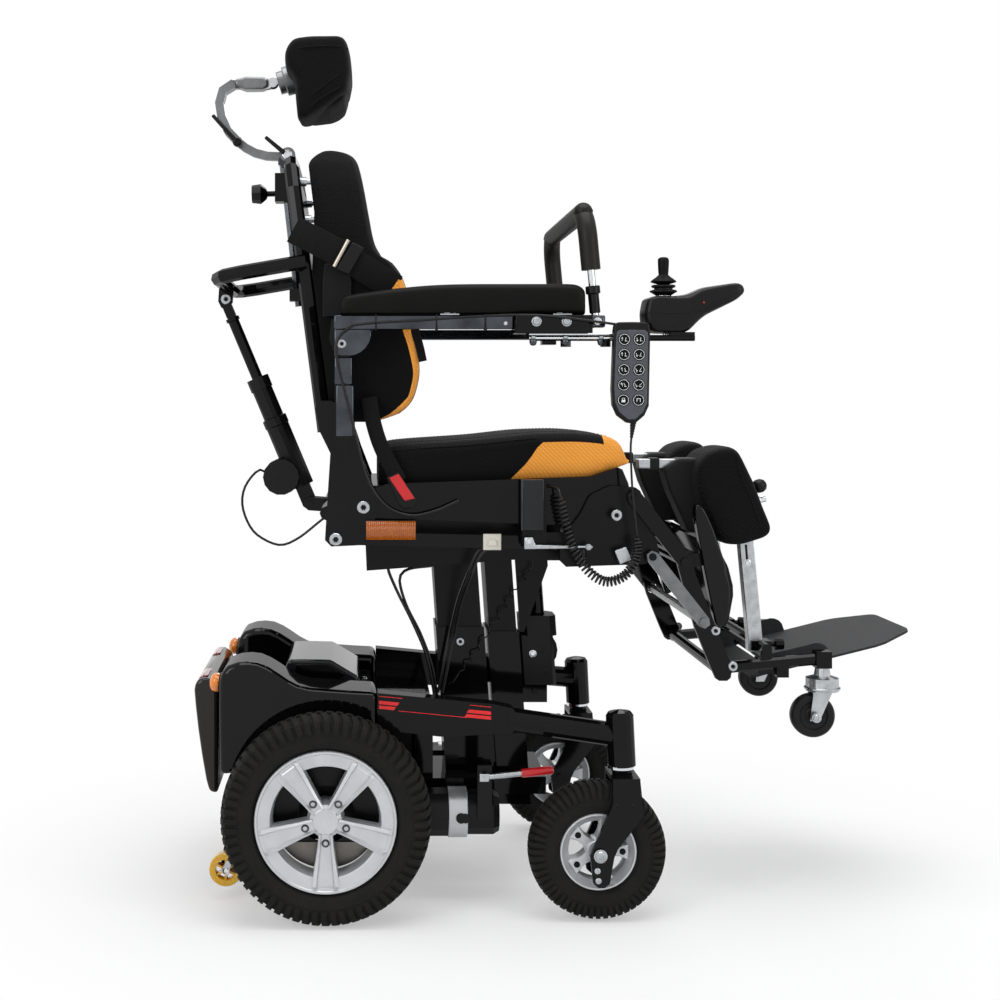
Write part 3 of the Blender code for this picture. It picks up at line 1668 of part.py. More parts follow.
def joystick_stick():
    x, y, z = JOYSTICK
    profile = [
        (-0.004, 0),
        (-0.004, 0.004),
        (0.016, 0.004),
        (0.020, 0.0085),
        (0.042, 0.0065),
        (0.048, 0.0085),
        (0.062, 0.0095),
        (0.066, 0.006),
        (0.0665, 0),
    ]
    shaft = turned(profile, JOYSTICK, (0, 0, 1), 10)
    pivot = rod((x, y - 0.0084, z), (x, y + 0.0084, z), 0.0018, 8)
    finish("joystick_stick", fuse([shaft, pivot]), black_plastic(), JOYSTICK)


HANDSET_THICK = 0.023
HANDSET_BACK = -0.2737


def handset():
    outline = [
        (0.4645, 0.940),
        (0.4665, 0.971),
        (0.5285, 0.971),
        (0.5305, 0.940),
        (0.5270, 0.832),
        (0.519, 0.806),
        (0.476, 0.806),
        (0.468, 0.832),
    ]
    body = prism(
        rounded(outline, [0, 0.010, 0.010, 0, 0, 0.012, 0.012, 0], 1),
        "xz",
        HANDSET_BACK,
        HANDSET_BACK - HANDSET_THICK,
    )
    keys = []
    for row in range(5):
        for x in (0.4825, 0.5125):
            z = 0.948 - row * 0.0262
            keys.append(
                cross_rod(
                    (x, z),
                    HANDSET_BACK - HANDSET_THICK + 0.001,
                    HANDSET_BACK - HANDSET_THICK - 0.0016,
                    0.0086,
                ),
            )
    relief = turned(
        [(0, 0), (0, 0.0065), (0.026, 0.0035), (0.026, 0)],
        (0.4965, HANDSET_BACK - HANDSET_THICK / 2, 0.808),
        (-0.12, 0, -1),
        10,
    )
    finish("handset", fuse([body, *keys, relief]), black_plastic(), (0.4965, HANDSET_BACK, 0.95))


def grab_bar():
    y = ARM_Y
    top = 1.176
    hoop = [(GRAB_X, -y, 1.055), (0.4235, -y, top), (0.4235, y, top), (GRAB_X, y, 1.055)]
    parts = [tube(bend(hoop, 0.045, 4), GRAB_FOAM_RADIUS, 2)]
    for s in SIDES.values():
        parts.append(rod((GRAB_X, s * y, GRAB_BOTTOM), (GRAB_X, s * y, 1.070), GRAB_ROD_RADIUS, 10))
    finish("grab_bar", fuse(parts), black_foam(), (GRAB_X, 0, GRAB_BOTTOM))


# Legs


def leg_moved(point):
    return (point[0] + LEG_LINK[0], point[1] + LEG_LINK[1])


def leg_arm():
    end = leg_moved(LEG_KNEE_PIVOT)
    parts = plates(stadium(LEG_KNEE_PIVOT, end, 0.0125), LEG_ARM_IN, LEG_ARM_IN + PLATE)
    parts.append(cross_rod(end, -LEG_ARM_IN - PLATE - 0.004, LEG_ARM_IN + PLATE + 0.004, 0.009, 10))
    finish(
        "leg_arm",
        cut(fuse(parts), holes(LEG_KNEE_PIVOT, PIVOT_RADIUS)),
        black_paint(),
        side_point(LEG_KNEE_PIVOT),
    )


def leg_bars():
    end = leg_moved(LEG_LOWER_PIVOT)
    parts = plates(stadium(LEG_LOWER_PIVOT, end, 0.0105), LEG_BAR_IN, LEG_BAR_IN + PLATE)
    parts.append(cross_rod(end, -LEG_BAR_IN - PLATE - 0.004, LEG_BAR_IN + PLATE + 0.004, 0.008, 10))
    finish(
        "leg_bars",
        cut(fuse(parts), holes(LEG_LOWER_PIVOT, PIVOT_RADIUS)),
        silver_alloy(),
        side_point(LEG_LOWER_PIVOT),
    )


def foot_plane(x):
    return 0.4058 + math.tan(FOOT_ANGLE) * (x - 0.854)


def leg_frame():
    upper = leg_moved(LEG_KNEE_PIVOT)
    lower = leg_moved(LEG_LOWER_PIVOT)
    y = LEG_TUBE_Y
    shank = [
        (upper[0] - 0.014, upper[1] + 0.004),
        (upper[0] - 0.004, upper[1] + 0.014),
        (upper[0] + 0.012, upper[1] + 0.010),
        (upper[0] + 0.018, upper[1] - 0.020),
        (lower[0] + 0.020, lower[1]),
        (0.672, 0.400),
        (0.668, 0.378),
        (0.646, 0.378),
        (0.636, 0.400),
        (lower[0] - 0.012, lower[1] - 0.010),
    ]
    parts = plates(
        rounded(shank, [0.006, 0.006, 0.006, 0, 0.02, 0, 0.006, 0.006, 0, 0.02], 1),
        CARRIER_PLATE_IN,
        CARRIER_PLATE_IN + PLATE,
    )
    parts.append(
        cross_rod((0.657, 0.391), -CARRIER_PLATE_IN - 0.001, CARRIER_PLATE_IN + 0.001, 0.010, 10)
    )
    brow = (0.739, 0.424)
    parts.append(cross_rod(brow, -y - 0.004, y + 0.004, 0.009, 10))
    for s in SIDES.values():
        parts.append(rod((0.650, s * y, 0.391), (0.822, s * y, 0.407), 0.010, 10))
        parts.append(box((0.755, 0.775), (s * 0.172, s * 0.188), (0.377, 0.402)))
        parts.append(
            prism(
                [(0.728, 0.395), (0.750, 0.397), (0.747, 0.424), (0.731, 0.424)],
                "xz",
                s * (y - 0.004),
                s * (y + 0.004),
            ),
        )
        parts.append(
            box(
                (SMALL_SWIVEL_X - 0.013, SMALL_SWIVEL_X + 0.013),
                (s * (y - 0.013), s * (y + 0.013)),
                (0.393, 0.421),
            ),
        )
        parts.append(cross_rod(FOOTPLATE_HINGE, s * (FOOTPLATE_HALF - 0.006), s * y, 0.005, 8))
        parts.append(box((0.722, 0.756), (s * 0.112, s * 0.148), (0.416, 0.432)))
        parts.append(
            turned(
                [(0, 0), (0, 0.004), (0.010, 0.004), (0.012, 0.010), (0.026, 0.009), (0.026, 0)],
                (0.755, s * KNEE_PAD_Y, 0.424),
                (1, 0, 0),
                8,
            ),
        )
    calf = [
        (0.6300, 0.6120),
        (0.6440, 0.6130),
        (0.6700, 0.5650),
        (0.6800, 0.5250),
        (0.6700, 0.4700),
        (0.6600, 0.4600),
        (0.6560, 0.4750),
        (0.6640, 0.5280),
        (0.6560, 0.5480),
    ]
    calf_rounding = [0.004, 0.004, 0.03, 0.04, 0.02, 0.004, 0.01, 0.03, 0.01]
    parts.append(prism(rounded(calf, calf_rounding, 1), "xz", -0.200, 0.200))
    hanger = [(upper[0] - 0.002, upper[1]), (upper[0] + 0.040, upper[1] + 0.004), (0.652, 0.560)]
    parts += plates(strip(hanger, 0.022), CARRIER_PLATE_IN - 0.003, CARRIER_PLATE_IN + 0.004)
    parts.append(cross_rod((0.650, 0.562), -CARRIER_PLATE_IN, CARRIER_PLATE_IN, 0.009, 8))
    frame = fuse(parts)
    tools = holes(upper, 0.009, 10) + holes(lower, 0.008, 10, OPEN_FIT)
    for s in SIDES.values():
        tools.append(rod((SMALL_SWIVEL_X, s * y, 0.38), (SMALL_SWIVEL_X, s * y, 0.418), 0.0068))
        tools.append(
            box(
                (POST_X[0] - 0.0008, POST_X[1] + 0.0008),
                (s * KNEE_PAD_Y - POST_HALF - 0.0006, s * KNEE_PAD_Y + POST_HALF + 0.0006),
                (0.40, 0.45),
            ),
        )
    finish("leg_frame", cut(frame, tools), black_paint(), side_point(upper))


POST_X = (0.7265, 0.7335)
POST_HALF = 0.0115


def knee_post(name, s):
    y = s * KNEE_PAD_Y
    bar = box(POST_X, (y - POST_HALF, y + POST_HALF), (0.413, 0.612))
    arm = box((0.700, POST_X[1] + 0.001), (y - POST_HALF, y + POST_HALF), (0.600, 0.6183))
    slot = box((POST_X[0] - 0.01, POST_X[1] + 0.01), (y - 0.0045, y + 0.0045), (0.500, 0.580))
    solid = cut(fuse([bar, arm]), [slot])
    finish(name, solid, zinc_steel(), (POST_X[0], y, 0.424))


def knee_pad(name, s):
    outline = [
        (0.617, 0.730),
        (0.640, 0.756),
        (0.688, 0.766),
        (0.730, 0.712),
        (0.766, 0.640),
        (0.762, 0.618),
        (0.712, 0.6165),
        (0.690, 0.6165),
        (0.6345, 0.672),
    ]
    y = s * KNEE_PAD_Y
    pad = pad_solid(outline, y - 0.075, y + 0.075, 0.014, 0.010)
    finish(name, pad, black_fabric(), (POST_X[0], y, 0.424))


def footplate():
    half = FOOTPLATE_HALF
    top = foot_plane(FOOTPLATE_HINGE[0])
    reach = (FOOTPLATE_FRONT - FOOTPLATE_HINGE[0]) / math.cos(FOOT_ANGLE)
    rear = -0.045
    outline = [
        (rear, -half),
        (reach - 0.068, -half),
        (reach - 0.004, -0.098),
        (reach, -0.080),
        (reach, 0.080),
        (reach - 0.004, 0.098),
        (reach - 0.068, half),
        (rear, half),
    ]
    smooth = rounded(outline, [0.006, 0.03, 0.015, 0.01, 0.01, 0.015, 0.03, 0.006], 1)
    plate = prism(smooth, "xy", -0.004, 0.0)
    walls = []
    for s in SIDES.values():
        wall = [
            (-0.030, -0.004),
            (0.095, -0.004),
            (0.093, 0.018),
            (0.080, 0.028),
            (-0.022, 0.028),
            (-0.030, 0.016),
        ]
        walls.append(
            prism(
                rounded(wall, [0, 0, 0.01, 0.012, 0.008, 0.008], 1),
                "xz",
                s * (half - 0.004),
                s * half,
            ),
        )
    solid = fuse([plate, *walls])
    place = Matrix.Translation((FOOTPLATE_HINGE[0], 0, top)) @ Matrix.Rotation(-FOOT_ANGLE, 4, "Y")
    solid.data.transform(place)
    finish(
        "footplate",
        cut(solid, holes(FOOTPLATE_HINGE, 0.005)),
        grit_sheet(),
        side_point(FOOTPLATE_HINGE),
    )


def small_wheel_centre(s):
    return (SMALL_SWIVEL_X - SMALL_TRAIL, s * LEG_TUBE_Y, SMALL_WHEEL_Z)


def small_fork(name, s):
    y = s * LEG_TUBE_Y
    wheel = small_wheel_centre(s)
    top = SMALL_WHEEL_Z + SMALL_WHEEL_RADIUS + 0.004
    disc = turned(
        [(0, 0), (0, 0.0275), (0.022, 0.0275), (0.026, 0.014), (0.0385, 0.012), (0.0385, 0)],
        (SMALL_SWIVEL_X, y, top),
        (0, 0, 1),
        14,
    )
    stem = rod((SMALL_SWIVEL_X, y, top + 0.02), (SMALL_SWIVEL_X, y, 0.417), 0.006)
    outline = [
        (SMALL_SWIVEL_X - 0.018, top + 0.008),
        (SMALL_SWIVEL_X + 0.016, top + 0.008),
        (wheel[0] + 0.008, wheel[2] - 0.007),
        (wheel[0] - 0.008, wheel[2] - 0.007),
    ]
    parts = [disc, stem]
    for way in (-1, 1):
        parts.append(prism(outline, "xz", y + way * 0.0145, y + way * 0.0170))
    parts.append(cross_rod(wheel[::2], y - 0.0195, y + 0.0195, 0.004))
    finish(name, fuse(parts), zinc_steel(), (SMALL_SWIVEL_X, y, top))


def small_wheel(name, s):
    centre = small_wheel_centre(s)
    half = 0.0125
    radius = SMALL_WHEEL_RADIUS
    profile = [
        (-half, 0.004 + RUNNING),
        (-half, radius - 0.006),
        (-half + 0.006, radius),
        (half - 0.006, radius),
        (half, radius - 0.006),
        (half, 0.004 + RUNNING),
    ]
    finish(name, turned(profile, centre, (0, 1, 0), 16, ring=True), tyre_rubber(), centre)


# Cords


def smooth_route(points, spacing):
    """Evenly spaced places on a smooth curve through the points."""
    points = [Vector(point) for point in points]
    extended = [points[0] * 2 - points[1], *points, points[-1] * 2 - points[-2]]
    dense = []
    for before, start, end, after in zip(extended, extended[1:], extended[2:], extended[3:]):
        for step in range(40):
            t = step / 40
            bend_part = (before * 2 - start * 5 + end * 4 - after) * t * t
            cubic = (start * 3 - before - end * 3 + after) * t**3
            dense.append((start * 2 + (end - before) * t + bend_part + cubic) / 2)
    dense.append(points[-1])
    places = [dense[0]]
    carried = 0.0
    for here, there in zip(dense, dense[1:]):
        carried += (there - here).length
        if carried >= spacing:
            places.append(there)
            carried = 0.0
    return places


def curl_route(points, curls, curl_radius, per_curl):
    """A helix wound round the smooth curve through the points."""
    spine = smooth_route(points, 0.0005)
    total = curls * per_curl
    places = []
    normal = Vector((0, 1, 0))
    for i in range(total + 1):
        at = i * (len(spine) - 1) / total
        index = min(int(at), len(spine) - 2)
        here = spine[index].lerp(spine[index + 1], at - index)
        along = (spine[min(index + 3, len(spine) - 1)] - spine[max(index - 3, 0)]).normalized()
        normal = (normal - along * normal.dot(along)).normalized()
        across = along.cross(normal)
        grow = min(1.0, i / per_curl, (total - i) / per_curl)
        angle = 2 * math.pi * i / per_curl
        places.append(
            here + (normal * math.cos(angle) + across * math.sin(angle)) * curl_radius * grow
        )
    return places


def least_gap(route, thickness, skip):
    """The least gap between stretches of a tube that aren't neighbours along it."""
    best = 1.0
    for i, here in enumerate(route):
        for there in route[i + skip :]:
            best = min(best, (here - there).length)
    return best - thickness


HANDSET_CORD_RADIUS = 0.0018
HANDSET_CURL_RADIUS = 0.0062
HANDSET_CURLS = 18
CURL_POINTS = 8
HANDSET_LEAD = [
    (0.4935, HANDSET_BACK - HANDSET_THICK / 2, 0.7815),
    (0.4925, HANDSET_BACK - HANDSET_THICK / 2, 0.7600),
    (0.4960, -0.2800, 0.7000),
    (0.5020, -0.2740, 0.6500),
    (0.5060, -0.2700, 0.6200),
]
HANDSET_SPINE = [
    (0.5060, -0.2700, 0.6200),
    (0.5040, -0.2690, 0.5880),
    (0.4860, -0.2680, 0.5580),
    (0.4540, -0.2670, 0.5480),
    (0.4230, -0.2660, 0.5690),
    (0.4020, -0.2650, 0.6050),
    (0.3900, -0.2640, 0.6450),
    (0.3820, -0.2620, 0.6850),
]
HANDSET_PLUG_END = [
    (0.3820, -0.2620, 0.6850),
    (0.3795, -0.2550, 0.6965),
    (0.3710, -0.2380, 0.7000),
    (0.3623, -0.2290, 0.7000),
]


def handset_cord():
    lead = smooth_route(HANDSET_LEAD, 0.012)
    curls = curl_route(HANDSET_SPINE, HANDSET_CURLS, HANDSET_CURL_RADIUS, CURL_POINTS)
    tail = smooth_route(HANDSET_PLUG_END, 0.006)
    route = lead[:-1] + curls + tail[1:]
    gap = least_gap(route, 2 * HANDSET_CORD_RADIUS, CURL_POINTS - 2)
    print(f"handset cord: {len(route)} points, least gap to itself {gap * 1000:.2f} mm")
    finish("handset_cord", tube(route, HANDSET_CORD_RADIUS, 1), cord_rubber(), route[0])


LIFT_LEAD_RADIUS = 0.0012
LIFT_LEAD_CURL = 0.0038
LIFT_LEAD_CURLS = 10
LIFT_LEAD_SPINE = [
    (0.3545, -0.0720, 0.5480),
    (0.3265, -0.0700, 0.5110),
    (0.2984, -0.0690, 0.4657),
    (0.2560, -0.0680, 0.4010),
    (0.2264, -0.0680, 0.3600),
]
LIFT_LEAD_TOP = [(0.3560, -0.0830, 0.5662), (0.3560, -0.0830, 0.5600), (0.3555, -0.0770, 0.5535)]
LIFT_LEAD_BOTTOM = [(0.2190, -0.0670, 0.3480), (0.2130, -0.0620, 0.3430), (0.2110, -0.0553, 0.3420)]


def lift_lead():
    curls = curl_route(LIFT_LEAD_SPINE, LIFT_LEAD_CURLS, LIFT_LEAD_CURL, CURL_POINTS)
    top = [Vector(point) for point in LIFT_LEAD_TOP]
    bottom = [Vector(point) for point in LIFT_LEAD_BOTTOM]
    route = top + curls + bottom
    gap = least_gap(route, 2 * LIFT_LEAD_RADIUS, CURL_POINTS - 2)
    print(f"lift lead: {len(route)} points, least gap to itself {gap * 1000:.2f} mm")
    finish("lift_lead", tube(route, LIFT_LEAD_RADIUS, 1), cord_rubber(), route[0])


# Assembly


def build():
    chassis_frame()
    body_shell()
    battery_cover()
    rear_cover()
    battery_pack()
    lift_actuator()
    lift_tube()
    lift_carriage()
    seat_frame()
    seat_cushion()
    parallel_link()
    back_carrier()
    back_frame()
    back_cushion()
    recline_tube()
    recline_rod()
    headrest_stem()
    headrest_lower_arm()
    headrest_upper_arm()
    headrest_puck()
    headrest_pad()
    joystick_box()
    joystick_gimbal()
    joystick_stick()
    handset()
    grab_bar()
    leg_arm()
    leg_bars()
    leg_frame()
    footplate()
    handset_cord()
    lift_lead()
    for side, s in SIDES.items():
        drive_motor(f"drive_motor_{side}", s)
        centre = (0, s * REAR_TRACK_HALF, REAR_WHEEL_RADIUS)
        tyre(f"rear_tyre_{side}", centre, REAR_WHEEL_RADIUS, REAR_RIM_RADIUS, REAR_TYRE_WIDTH, 26)
        rear_rim(f"rear_rim_{side}", s)
        caster_fork(f"caster_fork_{side}", s)
        tyre(
            f"caster_tyre_{side}",
            caster_wheel_centre(s),
            CASTER_RADIUS,
            CASTER_RIM_RADIUS,
            CASTER_TYRE_WIDTH,
            18,
        )
        caster_rim(f"caster_rim_{side}", s)
        antitip_wheel(f"antitip_wheel_{side}", s)
        brake_lever(f"brake_lever_{side}", s)
        armrest(f"armrest_{side}", s)
        arm_pad(f"arm_pad_{side}", s)
        knee_post(f"knee_post_{side}", s)
        knee_pad(f"knee_pad_{side}", s)
        small_fork(f"small_fork_{side}", s)
        small_wheel(f"small_wheel_{side}", s)


clear_scene()
frame_empty = bpy.data.objects.new("frame", None)
bpy.context.scene.collection.objects.link(frame_empty)
frame_empty.location = (-(FOOTPLATE_FRONT + REAR_COVER_BACK) / 2, 0, 0)
build()
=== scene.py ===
# The looks of the powered wheelchair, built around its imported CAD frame.
# Places are measured from the rear axle at X = 0, and at() moves them to the frame.

import json
import math

import bmesh
import bpy
from mathutils import Matrix, Vector


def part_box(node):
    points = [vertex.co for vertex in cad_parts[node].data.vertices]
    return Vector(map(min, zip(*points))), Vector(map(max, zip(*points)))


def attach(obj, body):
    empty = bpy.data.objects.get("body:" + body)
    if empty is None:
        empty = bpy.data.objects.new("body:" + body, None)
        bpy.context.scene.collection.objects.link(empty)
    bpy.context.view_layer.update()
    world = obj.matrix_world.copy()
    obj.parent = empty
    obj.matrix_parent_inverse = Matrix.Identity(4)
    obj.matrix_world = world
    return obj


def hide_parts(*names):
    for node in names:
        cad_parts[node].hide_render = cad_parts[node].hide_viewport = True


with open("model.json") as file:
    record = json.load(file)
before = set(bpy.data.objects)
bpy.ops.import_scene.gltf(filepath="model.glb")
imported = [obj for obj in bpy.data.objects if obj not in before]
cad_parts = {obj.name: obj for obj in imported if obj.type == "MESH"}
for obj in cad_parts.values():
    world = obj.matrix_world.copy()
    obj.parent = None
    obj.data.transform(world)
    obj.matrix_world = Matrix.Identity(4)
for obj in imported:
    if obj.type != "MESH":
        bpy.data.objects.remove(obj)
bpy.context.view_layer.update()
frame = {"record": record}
rearAxle = 0.3925  # how far the rear axle lies behind the frame's origin
sides = (("right", -1), ("left", 1))
toNear, toFar, toTop, toGround = (0, -1, 0), (0, 1, 0), (0, 0, 1), (0, 0, -1)


def at(x, y, z):
    return Vector((x - rearAxle, y, z))


# Mesh helpers


# A piece with its material and the body it rides on; it hides the CAD node it stands for
def addPiece(name, shape, material, body, node=None, slot=None, fill=None):
    piece = bpy.data.objects.new(name, shape)
    bpy.context.scene.collection.objects.link(piece)
    for layer in material if isinstance(material, list) else [material]:
        shape.materials.append(layer)
    if isinstance(shape, bpy.types.Mesh):
        shape.polygons.foreach_set("use_smooth", [True] * len(shape.polygons))
    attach(piece, body)
    if node:
        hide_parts(node)
    return piece


# The mesh that a maker holds, creased where its faces meet at more than this angle
def toMesh(name, maker, angle=30, merge=True):
    if merge:
        bmesh.ops.remove_doubles(maker, verts=maker.verts, dist=0.000002)
    bmesh.ops.recalc_face_normals(maker, faces=maker.faces)
    for edge in maker.edges:
        if len(edge.link_faces) == 2:
            edge.smooth = edge.calc_face_angle(0) < math.radians(angle)
    mesh = bpy.data.meshes.new(name)
    maker.to_mesh(mesh)
    maker.free()
    return mesh


def addMade(name, maker, material, body, bevel=0, segments=2, angle=30, merge=True, **stands):
    piece = addPiece(name, toMesh(name, maker, angle, merge), material, body, **stands)
    if bevel:
        modifier = piece.modifiers.new("bevel", "BEVEL")
        modifier.width, modifier.segments = bevel, segments
        modifier.limit_method = "ANGLE"
    return piece


def smoothPiece(piece, levels):
    modifier = piece.modifiers.new("subdivision", "SUBSURF")
    modifier.levels = modifier.render_levels = levels


# A turned form; its profile holds (distance along the axis, radius)
def addTurned(maker, profile, centre, axis, count=32, ring=False):
    turn = Vector(axis).normalized().to_track_quat("Z", "Y").to_matrix().to_4x4()
    place = Matrix.Translation(Vector(centre)) @ turn
    angles = [2 * math.pi * i / count for i in range(count)]
    loops = []
    for along, radius in profile:
        points = [(radius * math.cos(a), radius * math.sin(a), along) for a in angles]
        loops.append([maker.verts.new(place @ Vector(p)) for p in (points if radius else points[:1])])
    for here, there in list(zip(loops, loops[1:])) + [(loops[-1], loops[0])] * ring:
        for i in range(count):
            j = (i + 1) % count
            if len(here) == 1:
                maker.faces.new((here[0], there[i], there[j]))
            elif len(there) == 1:
                maker.faces.new((here[i], here[j], there[0]))
            else:
                maker.faces.new((here[i], here[j], there[j], there[i]))


# Closed loops of places, skinned one after another and closed at both ends
def joinLoops(maker, rows, paint=None):
    loops = [[maker.verts.new(place) for place in row] for row in rows]
    count = len(rows[0])
    for i, (here, there) in enumerate(zip(loops, loops[1:])):
        for k in range(count):
            j = (k + 1) % count
            face = maker.faces.new((here[k], here[j], there[j], there[k]))
            if paint:
                face.material_index = paint(i, k)
    maker.faces.new(loops[0][::-1])
    maker.faces.new(loops[-1])


# A side outline of (x, z) points between two Y places
def addPrism(maker, outline, low, high):
    joinLoops(maker, [[at(x, y, z) for x, z in outline] for y in (low, high)])


def rectangle(left, low, right, high):
    return [(left, low), (right, low), (right, high), (left, high)]


# A socket cap screw with a domed rim, its hexagon hole and a washer under it
def addBolt(maker, place, axis, radius, height, start=0.0):
    profile = [(-0.0005, 0), (-0.0005, 1.28), (0.0008, 1.28), (0.001, 1.2), (0.001, 1)]
    head = (0.7, 1), (0.95, 0.86), (1, 0.72), (1, 0.56), (0.45, 0.51), (0.4, 0)
    profile += [(height * share, wide) for share, wide in head]
    addTurned(maker, [(start + along, radius * wide) for along, wide in profile], place, axis, 20)


def sidePlate(name, body, material, outline, low, high, bevel=0.002, segments=3, **stands):
    maker = bmesh.new()
    addPrism(maker, outline, *sorted((low, high)))
    return addMade(name, maker, material, body, bevel, segments, **stands)


# Blocks in one piece, each with its X, Y and Z limits
def blockPiece(name, body, material, blocks, bevel=0, segments=2, **stands):
    maker = bmesh.new()
    for left, right, low, high, bottom, top in blocks:
        addPrism(maker, rectangle(left, bottom, right, top), low, high)
    return addMade(name, maker, material, body, bevel, segments, **stands)


def turnedPiece(name, body, material, profile, centre, axis, count=48, ring=False, **stands):
    maker = bmesh.new()
    addTurned(maker, profile, at(*centre), axis, count, ring)
    return addMade(name, maker, material, body, **stands)


# Spokes from sections of (reach, half width, drop), each with an outline of (share, depth) points
def addSpokes(maker, centre, angles, sections, outline, out):
    for angle in angles:
        along = Vector((math.sin(angle), 0, math.cos(angle)))
        across = Vector((along.z, 0, -along.x))
        joinLoops(maker, [[
            centre + along * reach + across * share * half + Vector(out) * (depth - drop)
            for share, depth in outline
        ] for reach, half, drop in sections])


# Evenly spaced places on a smooth curve through the points
def throughPoints(points, spacing):
    points = [Vector(point) for point in points]
    extended = [points[0] * 2 - points[1], *points, points[-1] * 2 - points[-2]]
    dense = []
    for before, start, end, after in zip(extended, extended[1:], extended[2:], extended[3:]):
        for step in range(40):
            t = step / 40
            square = (before * 2 - start * 5 + end * 4 - after) * t * t
            cube = (start * 3 - before - end * 3 + after) * t**3
            dense.append((start * 2 + (end - before) * t + square + cube) / 2)
    dense.append(points[-1])
    places = [dense[0]]
    carried = 0.0
    for here, there in zip(dense, dense[1:]):
        carried += (there - here).length
        if carried >= spacing:
            places.append(there)
            carried = 0.0
    if (places[-1] - dense[-1]).length > spacing * 0.3:
        places.append(dense[-1])
    else:
        places[-1] = dense[-1]
    return places


# A helix round the smooth curve through the points
def wound(points, curls, curlRadius, perCurl):
    spine = throughPoints(points, 0.0005)
    total = curls * perCurl
    places = []
    normal = Vector(toFar)
    for i in range(total + 1):
        where = i * (len(spine) - 1) / total
        index = min(int(where), len(spine) - 2)
        here = spine[index].lerp(spine[index + 1], where - index)
        ahead = spine[min(index + 3, len(spine) - 1)]
        along = (ahead - spine[max(index - 3, 0)]).normalized()
        normal = (normal - along * normal.dot(along)).normalized()
        grow = min(1.0, i / perCurl, (total - i) / perCurl)
        angle = 2 * math.pi * i / perCurl
        offset = (normal * math.cos(angle) + along.cross(normal) * math.sin(angle)) * curlRadius * grow
        places.append(here + offset)
    return places


# A round cable, tube or rod along a route, kept as a curve with one open spline
def addTube(name, route, radius, material, body, resolution=3, **stands):
    curve = bpy.data.curves.new(name, "CURVE")
    curve.dimensions = "3D"
    curve.bevel_depth = radius
    curve.bevel_resolution = resolution
    curve.use_fill_caps = True
    spline = curve.splines.new("POLY")
    spline.points.add(len(route) - 1)
    for point, place in zip(spline.points, route):
        point.co = (*at(*place), 1)
    return addPiece(name, curve, material, body, **stands)


# Material helpers

shaderSockets = {
    "metallic": "Metallic", "coat": "Coat Weight", "coatRoughness": "Coat Roughness",
    "specular": "Specular IOR Level", "sheen": "Sheen Weight", "sheenRoughness": "Sheen Roughness",
    "subsurface": "Subsurface Weight",
}


# Takes a colour as sRGB hex to linear
def linear(colour):
    channels = [int(colour[i : i + 2], 16) / 255 for i in (0, 2, 4)]
    return (*(c / 12.92 if c <= 0.04045 else ((c + 0.055) / 1.055) ** 2.4 for c in channels), 1.0)


def startTree(owner):
    owner.use_nodes = True
    owner.node_tree.nodes.clear()
    return owner.node_tree


# Adds a node with its links, values and settings, and gives back one of its outputs
def addNode(tree, kind, inputs, give=0, **settings):
    node = tree.nodes.new(kind)
    for name, value in settings.items():
        setattr(node, name, value)
    for name, value in inputs.items():
        if isinstance(value, bpy.types.NodeSocket):
            tree.links.new(value, node.inputs[name])
        else:
            node.inputs[name].default_value = value
    return node.outputs[give] if node.outputs else None


# Bump, the shader with its constant layers, and the output
def finishMaterial(tree, colour, roughness, height, depth, strength, layers):
    rise = {"Height": height, "Distance": depth / 1000, "Strength": strength}
    inputs = {
        "Base Color": colour, "Roughness": roughness, "Normal": addNode(tree, "ShaderNodeBump", rise),
    }
    inputs.update({shaderSockets[name]: value for name, value in layers.items()})
    shader = addNode(tree, "ShaderNodeBsdfPrincipled", inputs)
    addNode(tree, "ShaderNodeOutputMaterial", {"Surface": shader})


# A paint, plastic or metal: two near colours in soft clouds, uneven gloss and a fine grain
def mottled(name, deep, pale, roughness, cloud, grain, depth, strength=0.4, **layers):
    material = bpy.data.materials.new(name)
    tree = startTree(material)
    place = addNode(tree, "ShaderNodeTexCoord", {}, "Object")
    broad, fine = [
        addNode(tree, "ShaderNodeTexNoise", {"Vector": place, "Scale": 1000 / size, "Detail": detail})
        for size, detail in ((cloud, 3), (grain, 2))
    ]
    sockets = {0: broad, 6: linear(deep), 7: linear(pale)}
    colour = addNode(tree, "ShaderNodeMix", sockets, 2, data_type="RGBA")
    low, high = roughness
    gloss = addNode(tree, "ShaderNodeMapRange", {"Value": fine, "To Min": low, "To Max": high})
    finishMaterial(tree, colour, gloss, fine, depth, strength, layers)
    return material


